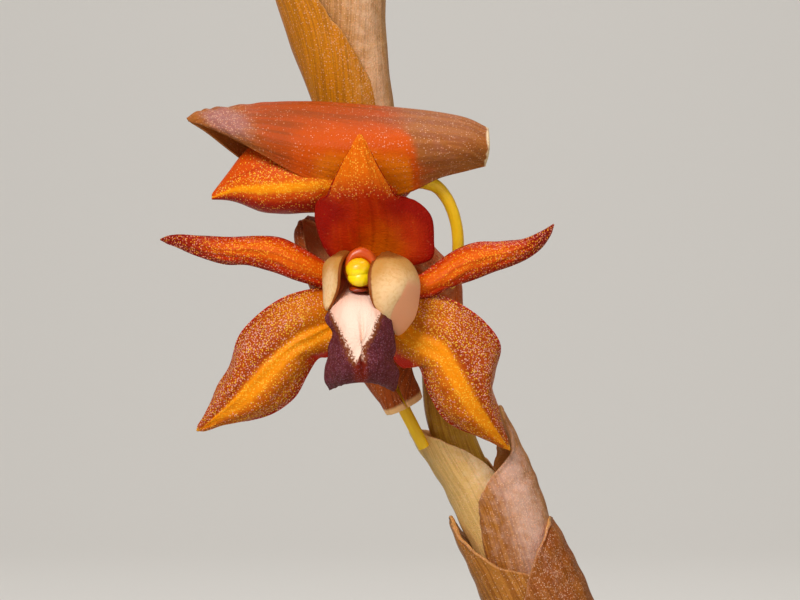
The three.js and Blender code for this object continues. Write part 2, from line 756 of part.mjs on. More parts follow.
const LATERAL_LEFT = [
  [[352, 292, -1.3], [356, 300, -1.3], [360, 306, -1.3]],
  [[324, 288, -0.6], [333, 322, 0], [345, 345, -0.8]],
  [[295, 293, -0.4], [310, 333, 1], [329, 356, -1.2]],
  [[272, 304, -0.2], [290, 345, 1.2], [318, 359, -0.8]],
  [[251, 321, -0.4], [270, 362, 1], [307, 376, -0.4]],
  [[238, 339, -0.8], [253, 380, 0.6], [295, 397, -0.8]],
  [[230, 366, -1.4], [239, 396, 0], [275, 412, -1.2]],
  [[218, 386, -2], [226, 408, -1], [250, 420, -1.8]],
  [[209, 407, -2.6], [214, 418, -2], [228, 423, -2.4]],
  [[202, 421, -3], [205, 425, -2.8], [211, 428, -3]],
  [[197, 430, -3.4], [197.3, 430.3, -3.4], [197.6, 430.6, -3.4]],
];

const LATERAL_RIGHT = [
  [[376, 292, -1.3], [372, 300, -1.3], [368, 306, -1.3]],
  [[405, 290, -0.8], [398, 320, 0], [388, 345, -0.8]],
  [[432, 293, -0.6], [416, 335, 0.8], [394, 359, -1.4]],
  [[462, 305, -0.6], [440, 346, 1.1], [404, 368, -1.6]],
  [[485, 322, -0.9], [453, 362, 1], [418, 365, -0.8]],
  [[500, 345, -1.4], [466, 385, 0.6], [428, 391, -0.6]],
  [[495, 370, -2], [476, 402, -0.2], [441, 415, -1.2]],
  [[491, 386, -2.6], [485, 416, -1.2], [458, 428, -2]],
  [[497, 404, -3.2], [493, 428, -2.2], [476, 435, -2.8]],
  [[502, 428, -3.8], [500, 438, -3.2], [493, 442, -3.6]],
  [[510, 449, -4.4], [509.6, 449.3, -4.4], [509.2, 449.6, -4.4]],
];

// The lip: the floor that runs out into the middle lobe, and the two side lobes that stand beside the
// column, from foot to end.
const LIP_MIDDLE = [
  [[352, 262, -1], [356, 263, -1.2], [362, 264, -1.3], [368, 263, -1.2], [372, 262, -1]],
  [[347, 275, 0], [354, 275, -0.3], [361, 275, -0.4], [368, 275, -0.3], [375, 275, 0]],
  [[343, 290, 3], [351, 290, 3.4], [360, 291, 3.4], [368, 293, 3.4], [379, 292, 2.8]],
  [[335, 303, 5.6], [346, 303, 6.6], [360, 303, 6.6], [371, 304, 6.6], [384, 309, 5.4]],
  [[326, 318, 6.2], [342, 318, 8], [361, 318, 8.2], [375, 320, 8], [391, 320, 6.2]],
  [[333, 333, 6.4], [345, 333, 8.6], [362, 334, 8.8], [374, 334, 8.6], [393, 334, 6.4]],
  [[329, 348, 6], [347, 348, 8.9], [362, 349, 8.6], [370, 349, 8.9], [395.5, 348, 6]],
  [[328, 360, 5.4], [345, 360, 8.6], [362, 361, 8.9], [376, 361, 8.6], [392.5, 359, 5.6]],
  [[325, 370, 4.6], [343, 371, 7.8], [362, 371, 8.4], [380, 371, 7.8], [398, 371, 4.8]],
  [[326, 382, 3.8], [343, 380, 6.6], [362, 378, 7.2], [380, 380, 6.6], [397, 384, 4]],
  [[330, 389.5, 3], [346, 383, 5.4], [362, 381.5, 6], [377, 383, 5.4], [393.5, 391, 3.2]],
];
const LIP_LEFT = [
  [[350, 262, -0.8], [341, 254, 1.8], [350, 252, 3.8]],
  [[347, 270, -0.4], [327, 264, 2.6], [343, 261, 6]],
  [[345, 281, 0.8], [325, 278, 3.2], [340.5, 272, 7]],
  [[343, 292, 2.6], [326, 293, 4], [339, 287, 7]],
  [[341, 301, 4.4], [327, 304, 5], [334, 300, 6.6]],
  [[338, 308, 5.4], [330, 310, 5.6], [329, 309, 6.2]],
];
const LIP_RIGHT = [
  [[372, 262, -0.8], [387, 254, 1.6], [384, 255, 3], [379, 256, 3.8]],
  [[375, 270, -0.4], [406, 263, 2.4], [396, 263, 5.2], [372, 262, 6]],
  [[378, 281, 0.6], [415, 280, 2.8], [403, 277, 6.6], [368, 274, 7.4]],
  [[381, 293, 2], [415.5, 298, 3.2], [400, 291, 7], [369, 290, 8]],
  [[384, 305, 3.6], [412, 316, 3.6], [392, 305, 7], [372, 303, 7.6]],
  [[388, 317, 4.2], [402, 330, 4], [389, 316, 6.4], [379, 313, 6.9]],
  [[390, 327, 4.4], [394, 334, 4.2], [391, 325, 5.2], [387, 319, 5.8]],
];

// A rounded body along a line of traced rings: column, row, near, half width, half height.
function roundedBody(rings, sides) {
  return loft(
    rings.map(([column, row, near, wide, high]) => {
      const middle = traced([column, row, near]);
      return Array.from({ length: sides }, (_, j) => {
        const angle = (2 * Math.PI * j) / sides;
        const offset = new THREE.Vector3(wide * Math.cos(angle), 0, high * Math.sin(angle));
        return middle.clone().add(offset);
      });
    }),
  );
}

function column() {
  return roundedBody(
    [
      [364, 275, -1.2, 1.3, 1.5],
      [364, 272, 0.6, 1.45, 1.8],
      [363, 270, 2.4, 1.55, 2],
      [362, 269, 4, 1.7, 2.1],
      [361.5, 268, 5, 1.6, 2],
      [361, 267, 5.8, 1.2, 1.6],
      [361, 266, 6.2, 0.7, 1],
    ],
    12,
  );
}

function anther() {
  return roundedBody(
    [
      [358.5, 270, 4.4, 0.5, 0.6],
      [358.5, 270.5, 4.9, 1.1, 1.25],
      [358.5, 271, 5.7, 1.25, 1.45],
      [358.5, 271, 6.4, 1.1, 1.25],
      [358.5, 271, 6.9, 0.6, 0.7],
    ],
    12,
  );
}

// The bud: pointed at the far end, blunt at the stalk, deeper than wide.
function bud() {
  const rings = [
    [414, 181, 0.7, 0.8],
    [404, 178, 2.4, 2.2],
    [386, 174, 3.5, 3.6],
    [360, 171, 3.9, 4.3],
    [332, 171, 3.9, 4.4],
    [305, 172, 3.8, 4.4],
    [280, 174, 3.4, 4.3],
    [260, 177, 2.8, 3.7],
    [242, 181, 2, 2.5],
    [228, 187.5, 1.2, 1.4],
    [212, 197, 0.3, 0.3],
  ].map(([across, row, deep, high]) => {
    const middle = traced([across, row, -2.4]);
    return Array.from({ length: 12 }, (_, j) => {
      const angle = (2 * Math.PI * j) / 12;
      const keel = 1 + 0.06 * Math.cos(3 * angle + Math.PI / 2);
      const offset = new THREE.Vector3(0, deep * keel * Math.cos(angle), high * keel * Math.sin(angle));
      return middle.clone().add(offset);
    });
  });
  return loft(rings);
}

const STALK_OPEN = tracedKnots([
  [424, 447, -7.6, 0.6],
  [415, 430, -7.2, 0.62],
  [402, 404, -6.6, 0.65],
  [388, 366, -6, 0.8],
  [374, 325, -4.8, 1.15],
  [366, 298, -3.4, 1.3],
  [364, 288, -2.3, 1.25],
]);
const STALK_BUD = tracedKnots([
  [449, 284, -8, 0.7],
  [456, 266, -6.6, 0.62],
  [458, 246, -5.4, 0.6],
  [456, 224, -4.4, 0.6],
  [449, 203, -3.4, 0.62],
  [438, 188, -2.8, 0.66],
  [425, 182, -2.4, 0.75],
  [417.5, 181, -2.4, 0.8],
]);

function rolledPart({ knots, front, back }) {
  const rows = knots.length < 7 ? 8 : knots.length - 1;
  return rolled({ knots: tracedKnots(knots), front, back, rows, columns: 8 });
}

// Every piece, the ones that keep their full form first.
const pieces = [
  { name: "pot", geometry: pot(), finish: CLAY },
  { name: "anther_cap", geometry: anther(), finish: ANTHER },
  { name: "column", geometry: column(), finish: COLUMN },
  {
    name: "lip",
    geometry: joined([
      blade(LIP_MIDDLE, { rows: 10, columns: 6 }),
      blade(LIP_LEFT, { rows: 5, columns: 4 }),
      blade(LIP_RIGHT, { rows: 6, columns: 6 }),
    ]),
    finish: LIP,
  },
  { name: "petal_left", geometry: blade(PETAL_LEFT, { rows: 16, columns: 4 }), finish: PETAL },
  { name: "petal_right", geometry: blade(PETAL_RIGHT, { rows: 16, columns: 4 }), finish: PETAL },
  { name: "dorsal_sepal", geometry: blade(DORSAL, { rows: 20, columns: 4 }), finish: SEPAL },
  {
    name: "lateral_sepal_left",
    geometry: blade(LATERAL_LEFT, { rows: 20, columns: 4, puff: 0.7 }),
    finish: LATERAL,
  },
  {
    name: "lateral_sepal_right",
    geometry: blade(LATERAL_RIGHT, { rows: 20, columns: 4, puff: 0.7 }),
    finish: LATERAL,
  },
  { name: "floral_bract_bud", geometry: blade(BUD_BRACT, { rows: 10, columns: 8 }), finish: BRACT },
  { name: "flower_bud", geometry: bud(), finish: BUD },
  { name: "pedicel_open", geometry: stem(STALK_OPEN, 10, 8), finish: STALK },
  { name: "pedicel_bud", geometry: stem(STALK_BUD, 14, 8), finish: STALK },
  ...Object.entries({ ...BRACTS, ...SHEATHS })
    .reverse()
    .map(([name, part]) => ({ name, geometry: rolledPart(part), finish: part.finish })),
  { name: "spike_stem", geometry: stem(STEM, 36, 8), finish: SPIKE },
  ...LEAVES.map((part, i) => ({ name: "leaf_" + (i + 1), geometry: leaf(part), finish: LEAF })),
  ...BULBS.map((part, i) => ({
    name: "pseudobulb_" + (i + 1),
    geometry: pseudobulb(part, 0.7 * i),
    finish: BULB,
  })),
  { name: "bulb_sheath_1", geometry: bulbSheath(BULBS[0], 0.8, 200), finish: PAPERY },
  { name: "bulb_sheath_2", geometry: bulbSheath(BULBS[1], 0.7, 120), finish: PAPERY },
  { name: "rhizome", geometry: rhizome(), finish: RHIZOME },
  { name: "growing_medium", geometry: medium(), finish: BARK },
];

const plant = new THREE.Group();
plant.name = "potted_coelogyne_ecarinata";
for (const { name, geometry, finish } of cutClear(pieces)) {
  const [color, roughness] = finish;
  const material = new THREE.MeshStandardMaterial({ color, roughness, metalness: 0 });
  const mesh = new THREE.Mesh(geometry, material);
  mesh.name = name;
  plant.add(mesh);
}

export default plant;
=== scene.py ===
"""Dresses the potted coelogyne ecarinata: its flower, bud, bracts, sheaths, leaves, bulbs and pot."""
import logging
import math
from dataclasses import dataclass, field
from enum import Enum
from typing import Any

import bpy
import numpy as np
from mathutils import Euler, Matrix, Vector


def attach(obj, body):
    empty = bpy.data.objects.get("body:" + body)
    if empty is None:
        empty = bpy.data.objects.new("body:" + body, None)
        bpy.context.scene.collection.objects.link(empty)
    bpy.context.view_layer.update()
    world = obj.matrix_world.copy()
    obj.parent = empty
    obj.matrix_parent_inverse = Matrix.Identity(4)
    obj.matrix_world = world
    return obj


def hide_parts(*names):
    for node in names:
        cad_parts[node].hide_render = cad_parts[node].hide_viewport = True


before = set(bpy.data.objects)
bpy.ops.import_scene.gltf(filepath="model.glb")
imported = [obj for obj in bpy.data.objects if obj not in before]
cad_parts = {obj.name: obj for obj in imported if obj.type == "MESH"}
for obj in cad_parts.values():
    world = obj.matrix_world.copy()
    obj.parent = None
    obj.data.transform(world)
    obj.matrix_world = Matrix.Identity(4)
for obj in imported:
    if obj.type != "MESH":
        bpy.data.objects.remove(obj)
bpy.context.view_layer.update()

log = logging.getLogger("orchid")

# One millimetre, the part's own unit, in metres.
MM = 0.001
BODY = "root"
UP = np.array([0.0, 0.0, 1.0])
# How thick bracts, sheaths and the flower's parts are, and the leaves, in millimetres.
SKIN = 0.6
LEAF_THICKNESS = 0.7
# How far light spreads inside living tissue, in metres.
SCATTER = 0.0006
# The open flower's place in the part, in millimetres, and its column and row in the photograph.
FLOWER = np.array([-28.0, -20.0, 225.0])
FLOWER_COLUMN = 365.0
FLOWER_ROW = 290.0
# Millimetres from column to column at the flower, and from the eye to the flower.
GRID = 0.1
SIGHT = 333.0
# The middle of the photograph.
SIGHT_COLUMN = 400.0
SIGHT_ROW = 300.0

Trace = tuple[tuple[tuple[float, float, float], ...], ...]
Place = tuple[float, float, float]
Rings = tuple[tuple[float, float, float, float, float], ...]
Knots = tuple[tuple[float, float, float, float], ...]
Parts = tuple[tuple["Finish", tuple["Piece", ...]], ...]


class Facing(Enum):
    """Which way the plain face of a sheet looks."""

    VIEWER = (0.0, -1.0, 0.0)
    SKY = (0.0, 0.0, 1.0)


def traced(points: Any) -> np.ndarray:
    """Turns traced points into millimetres in the part's frame.

    Args:
        points: columns, rows and nearness to the viewer, in the last axis.

    Returns:
        The same array of points as x, y, z in millimetres.
    """
    points = np.asarray(points, float)
    spread = GRID * (SIGHT - points[..., 2]) / SIGHT
    x = FLOWER[0] + (SIGHT_COLUMN - FLOWER_COLUMN) * GRID + (points[..., 0] - SIGHT_COLUMN) * spread
    y = FLOWER[1] - points[..., 2]
    z = FLOWER[2] + (FLOWER_ROW - SIGHT_ROW) * GRID + (SIGHT_ROW - points[..., 1]) * spread
    return np.stack([x, y, z], -1)


def smooth(values: Any, t: Any) -> np.ndarray:
    """Reads a row of values at places between 0 and 1 along a smooth curve through them.

    Args:
        values: the values, along the first axis.
        t: the places, as one number or an array of one axis.

    Returns:
        The values at those places, along the first axis.
    """
    values = np.asarray(values, float)
    t = np.atleast_1d(np.asarray(t, float))
    span = len(values) - 1
    at = np.clip(t, 0, 1) * span
    i = np.minimum(at.astype(int), span - 1)
    shape = (-1,) + (1,) * (values.ndim - 1)
    f = (at - i).reshape(shape)
    padded = np.concatenate([2 * values[:1] - values[1:2], values, 2 * values[-1:] - values[-2:-1]])
    a, b, c, d = padded[i], padded[i + 1], padded[i + 2], padded[i + 3]
    return b + 0.5 * f * (c - a + f * (2 * a - 5 * b + 4 * c - d + f * (3 * (b - c) + d - a)))


def direction(line: np.ndarray, t: np.ndarray) -> np.ndarray:
    """Gives the unit direction of a smooth line at places from 0 to 1."""
    return unit(smooth(line, np.minimum(t + 0.01, 1)) - smooth(line, np.maximum(t - 0.01, 0)))


def soft_step(low: float, high: float, value: np.ndarray) -> np.ndarray:
    """Rises smoothly from 0 at low to 1 at high.

    Args:
        low: where the rise starts.
        high: where it ends; it may lie below low.
        value: where to read it.

    Returns:
        The heights.
    """
    x = np.clip((value - low) / (high - low), 0, 1)
    return x * x * (3 - 2 * x)


def bump_at(centre: float, width: float, value: np.ndarray) -> np.ndarray:
    """Gives a bell of height 1 at the centre that is `width` wide on each side."""
    return np.exp(-(((value - centre) / width) ** 2))


def unit(vectors: np.ndarray) -> np.ndarray:
    """Scales vectors in the last axis to length 1."""
    return vectors / np.maximum(np.linalg.norm(vectors, axis=-1, keepdims=True), 1e-9)


def linear(code: str) -> tuple[float, float, float, float]:
    """Turns an sRGB hex colour into linear light.

    Args:
        code: six hex digits after a #.

    Returns:
        Red, green, blue and an alpha of 1.
    """
    parts = [int(code[i : i + 2], 16) / 255 for i in (1, 3, 5)]
    red, green, blue = (p / 12.92 if p <= 0.04045 else ((p + 0.055) / 1.055) ** 2.4 for p in parts)
    return (red, green, blue, 1.0)


@dataclass
class Form:
    """Points, faces and per-point values of one mesh, in millimetres."""

    points: np.ndarray
    faces: list[tuple[int, ...]]
    values: dict[str, np.ndarray] = field(default_factory=dict)

    @staticmethod
    def joined(forms: "list[Form]") -> "Form":
        """Puts forms with the same values together.

        Args:
            forms: the forms.

        Returns:
            One form that holds them all.
        """
        starts = np.cumsum([0] + [len(form.points) for form in forms])
        pairs = zip(forms, starts.tolist())
        faces = [tuple(i + start for i in face) for form, start in pairs for face in form.faces]
        values = {key: np.concatenate([form.values[key] for form in forms]) for key in forms[0].values}
        return Form(np.concatenate([form.points for form in forms]), faces, values)

    def mesh(self, name: str, scale: float) -> bpy.types.Object:
        """Makes the form an object of the scene.

        Args:
            name: the object's name.
            scale: the length of one millimetre in it.

        Returns:
            The object.
        """
        mesh = bpy.data.meshes.new(name)
        mesh.from_pydata((self.points * scale).tolist(), [], self.faces)
        for key, value in self.values.items():
            kind, entry = ("FLOAT_VECTOR", "vector") if value.ndim == 2 else ("FLOAT", "value")
            mesh.attributes.new(key, kind, "POINT").data.foreach_set(entry, value.astype(np.float32).ravel())
        made = bpy.data.objects.new(name, mesh)
        bpy.context.scene.collection.objects.link(made)
        return made

    def place(self, name: str, skin: bpy.types.Material, node: str) -> bpy.types.Object:
        """Makes the form a visible piece in the place of a CAD node.

        Args:
            name: the piece's name.
            skin: its material.
            node: the CAD node that it replaces.

        Returns:
            The piece.
        """
        piece = self.mesh(name, MM)
        piece.data.polygons.foreach_set("use_smooth", [True] * len(self.faces))
        piece.data.materials.append(skin)
        piece.data.update()
        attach(piece, BODY)
        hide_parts(node)
        log.info("%s: %d faces", name, len(self.faces))
        return piece


def normals_of(grid: np.ndarray) -> np.ndarray:
    """Gives the unit normals of a grid of points in rows and columns."""
    return unit(np.cross(np.gradient(grid, axis=0), np.gradient(grid, axis=1)))


def round_angles(sides: int) -> np.ndarray:
    """Gives the angles of the points of a ring, as one row."""
    return np.linspace(0, 2 * math.pi, sides, endpoint=False)[None, :]


def spread(values: dict[str, Any], rows: int, columns: int) -> dict[str, np.ndarray]:
    """Widens values to every point of a grid.

    Args:
        values: for each name a number, a row, a column or a grid of numbers, or a grid of vectors.
        rows: the grid's rows.
        columns: the grid's columns.

    Returns:
        Full grids of numbers or vectors.
    """
    arrays = {key: np.asarray(value, float) for key, value in values.items()}
    return {key: np.broadcast_to(array, (rows, columns) + array.shape[2:]) for key, array in arrays.items()}


def sheet(
    grid: np.ndarray,
    thickness: float,
    values: dict[str, Any],
    facing: np.ndarray,
    relief: np.ndarray,
    edge: float = 0.35,
) -> Form:
    """Thickens a grid of points into a closed sheet with thin margins.

    Args:
        grid: points in rows from foot to tip and columns from edge to edge.
        thickness: millimetres through the middle.
        values: values that `spread` widens to the grid.
        facing: where the sheet's plain face looks, for all points or for each.
        relief: millimetres by which both faces rise along the normal.
        edge: the share of the thickness that the margins keep.

    Returns:
        The closed form; its value "face" is 1 on the plain face and 0 on the other.
    """
    rows, columns = grid.shape[:2]
    normal = normals_of(grid)
    if (normal * facing).sum(-1).mean() < 0:
        normal = -normal
    grid = grid + normal * relief[..., None]
    s = np.linspace(-1, 1, columns)[None, :]
    t = np.linspace(0, 1, rows)[:, None]
    thin = edge + (1 - edge) * np.minimum(soft_step(1, 0.7, abs(s)), soft_step(1, 0.93, t))
    half = normal * (thickness / 2 * thin)[..., None]
    points = np.concatenate([(grid + half).reshape(-1, 3), (grid - half).reshape(-1, 3)])
    count = rows * columns
    index = np.arange(count).reshape(rows, columns)
    front = np.stack([index[:-1, :-1], index[1:, :-1], index[1:, 1:], index[:-1, 1:]], -1).reshape(-1, 4)
    rim = np.concatenate([index[0, :-1], index[:-1, -1], index[-1, :0:-1], index[:0:-1, 0]])
    after = np.roll(rim, -1)
    band = np.stack([rim, after, after + count, rim + count], -1)
    faces = np.concatenate([front, front[:, ::-1] + count, band])
    p = points[front]
    turned = (np.cross(p[:, 1] - p[:, 0], p[:, 2] - p[:, 0]) * normal.reshape(-1, 3)[front[:, 0]]).sum(-1)
    if turned.mean() < 0:
        faces = faces[:, ::-1]
    doubled = {}
    for key, value in spread(values, rows, columns).items():
        doubled[key] = np.concatenate([value.reshape(count, *value.shape[2:])] * 2)
    doubled["face"] = np.repeat([1.0, 0.0], count)
    return Form(points, [tuple(face) for face in faces.tolist()], doubled)


def loft(rings: np.ndarray, values: dict[str, Any]) -> Form:
    """Draws a closed skin through rings of points, with both ends capped.

    Args:
        rings: points in rings from foot to tip and steps round each ring.
        values: values that `spread` widens to the rings.

    Returns:
        The closed form.
    """
    count, sides = rings.shape[:2]
    index = np.arange(count * sides).reshape(count, sides)
    after = np.roll(index, -1, axis=1)
    quads = np.stack([index[:-1], after[:-1], after[1:], index[1:]], -1).reshape(-1, 4)
    middle = rings.mean(1)
    points = np.concatenate([rings.reshape(-1, 3), middle[:1], middle[-1:]])
    foot = [(int(after[0, j]), int(index[0, j]), count * sides) for j in range(sides)]
    tip = [(int(index[-1, j]), int(after[-1, j]), count * sides + 1) for j in range(sides)]
    full = {}
    for key, value in spread(values, count, sides).items():
        flat = value.reshape(count * sides, *value.shape[2:])
        full[key] = np.concatenate([flat, value[0, :1], value[-1, :1]])
    faces = [tuple(quad) for quad in quads.tolist()] + foot + tip
    half = count // 2
    a, b, c = rings[half, 0], rings[half, 1], rings[min(half + 1, count - 1), 0]
    if np.dot(np.cross(b - a, c - a), a - middle[half]) < 0:
        faces = [face[::-1] for face in faces]
    return Form(points, faces, full)


@dataclass(frozen=True)
class Wrap:
    """A sheet rolled round a way, with the angle, outward side and lay of its points."""

    angle: np.ndarray
    outward: np.ndarray
    lay: np.ndarray
    centre: np.ndarray
    radius: np.ndarray


@dataclass(frozen=True)
class Way:
    """A line of knots that a stem, sheath or bract follows: x, y, z and radius in millimetres."""

    knots: np.ndarray

    @staticmethod
    def traced(rows: Knots) -> "Way":
        """Makes a way from traced knots of column, row, nearness and radius."""
        table = np.asarray(rows, float)
        return Way(np.concatenate([traced(table[:, :3]), table[:, 3:]], 1))

    def places(self, t: np.ndarray) -> tuple[np.ndarray, np.ndarray, np.ndarray, np.ndarray]:
        """Reads the way at places from 0 to 1.

        Args:
            t: the places.

        Returns:
            Centres, radii, and the directions to the right and to the viewer across the way.
        """
        read = smooth(self.knots, t)
        along = direction(self.knots[:, :3], t)
        viewer = np.array(Facing.VIEWER.value)
        front = unit(viewer - along * (along @ viewer)[:, None])
        return read[:, :3], read[:, 3], np.cross(along, front), front

    def length(self) -> float:
        """Gives the way's length in millimetres."""
        line = smooth(self.knots[:, :3], np.linspace(0, 1, 200))
        return float(np.linalg.norm(np.diff(line, axis=0), axis=1).sum())

    def wrap(self, low: np.ndarray, high: np.ndarray, columns: int) -> Wrap:
        """Rolls a sheet round the way.

        Args:
            low: the angle of one margin in each row, in degrees.
            high: the angle of the other margin.
            columns: points from margin to margin.

        Returns:
            The rolled sheet.
        """
        t = np.linspace(0, 1, len(low))
        across = (np.linspace(-1, 1, columns) + 1) / 2
        angle = np.radians(low[:, None] + across * (high - low)[:, None])
        centre, radius, right, front = self.places(t)
        outward = right[:, None] * np.cos(angle)[..., None] + front[:, None] * np.sin(angle)[..., None]
        lay = np.zeros(angle.shape + (3,))
        lay[..., 0] = (t * self.length())[:, None]
        lay[..., 1] = angle * radius[:, None]
        return Wrap(angle, outward, lay, centre[:, None], radius[:, None])

    def rings(self, count: int, sides: int, swell: np.ndarray) -> tuple[np.ndarray, np.ndarray]:
        """Draws round rings along the way.

        Args:
            count: how many rings.
            sides: points in each ring.
            swell: a factor on the radius at each ring and side.

        Returns:
            The rings, and the lay of each point: millimetres along and round the way.
        """
        t = np.linspace(0, 1, count)
        centre, radius, right, front = self.places(t)
        angle = round_angles(sides)
        radial = right[:, None] * np.cos(angle)[..., None] + front[:, None] * np.sin(angle)[..., None]
        lay = np.zeros((count, sides, 3))
        lay[..., 0] = (t * self.length())[:, None]
        lay[..., 1] = radius[:, None] * np.minimum(angle, 2 * math.pi - angle)
        return centre[:, None] + radial * (radius[:, None] * swell)[..., None], lay


@dataclass(frozen=True)
class Piece:
    """A visible piece, and the node of the CAD part that it replaces."""

    name: str
    node: str

    def form(self) -> Form:
        """Draws the piece; each kind of piece has its own way."""
        raise NotImplementedError

    def build(self, skin: bpy.types.Material) -> bpy.types.Object:
        """Builds the piece in its skin."""
        return self.form().place(self.name, skin, self.node)


class Pattern(Enum):
    """What a grain pattern follows."""

    PLACE = "the place in the piece, in millimetres"
    LENGTHWISE = "lines that run along the piece"
    TURNED = "rings about the pot's axis"


@dataclass(frozen=True)
class Grain:
    """A cloudy pattern: the width of a cloud in millimetres, and the levels where it starts and is full."""

    size: float
    low: float = 0.4
    high: float = 0.6
    detail: float = 3.0
    pattern: Pattern = Pattern.PLACE
    stretch: float = 20.0


@dataclass(frozen=True)
class Coat:
    """A colour that lies where a per-point value, a grain pattern or both are high."""

    colour: str
    share: float = 1.0
    where: str = ""
    low: float = 0.0
    high: float = 1.0
    ragged: float = 0.0
    ragged_size: float = 1.1
    grain: Grain | None = None


@dataclass(frozen=True)
class Glints:
    """Domed surface cells, some of which carry painted highlights: bright tones mixed into the colour over
    each dome; the value glint says how many do.
    """

    size: float
    share: float
    first: str
    second: str
    strength: float = 0.85


@dataclass(frozen=True)
class Relief:
    """A fine bump: a grain pattern, and its height in millimetres."""

    grain: Grain
    height: float
    strength: float = 0.6


@dataclass(frozen=True)
class Finish:
    """The finish of a piece: its body colour, coats from the lowest to the top one, relief and glints."""

    name: str
    body: str
    coats: tuple[Coat, ...] = ()
    relief: tuple[Relief, ...] = ()
    glints: Glints | None = None
    roughness: float = 0.5
    ior: float = 1.45
    gloss: float = 0.5
    depth: float = 0.0

    def material(self) -> bpy.types.Material:
        """Makes the material.

        Returns:
            The material with all its coats.
        """
        material, graph = Graph.start(self.name)
        colour = linear(self.body)
        for coat in self.coats:
            colour = graph.mix(graph.cover(coat), colour, linear(coat.colour))
        normal = None
        if self.glints:
            place = graph.spot(Pattern.PLACE)
            cells = graph.add("TexVoronoi", {"Vector": place, "Scale": 1 / self.glints.size})
            colour = graph.glint(self.glints, cells, colour)
            dome = graph.math("SUBTRACT", 1.0, cells.outputs["Distance"])
            normal = graph.raised(dome, self.glints.size * 0.35, 0.7, None)
        for relief in self.relief:
            normal = graph.raised(graph.noise(relief.grain), relief.height, relief.strength, normal)
        numbers = {"Roughness": self.roughness, "IOR": self.ior, "Specular IOR Level": self.gloss}
        if self.depth:
            numbers |= {"Subsurface Weight": self.depth, "Subsurface Scale": SCATTER}
        graph.shade(colour, normal, numbers)
        return material


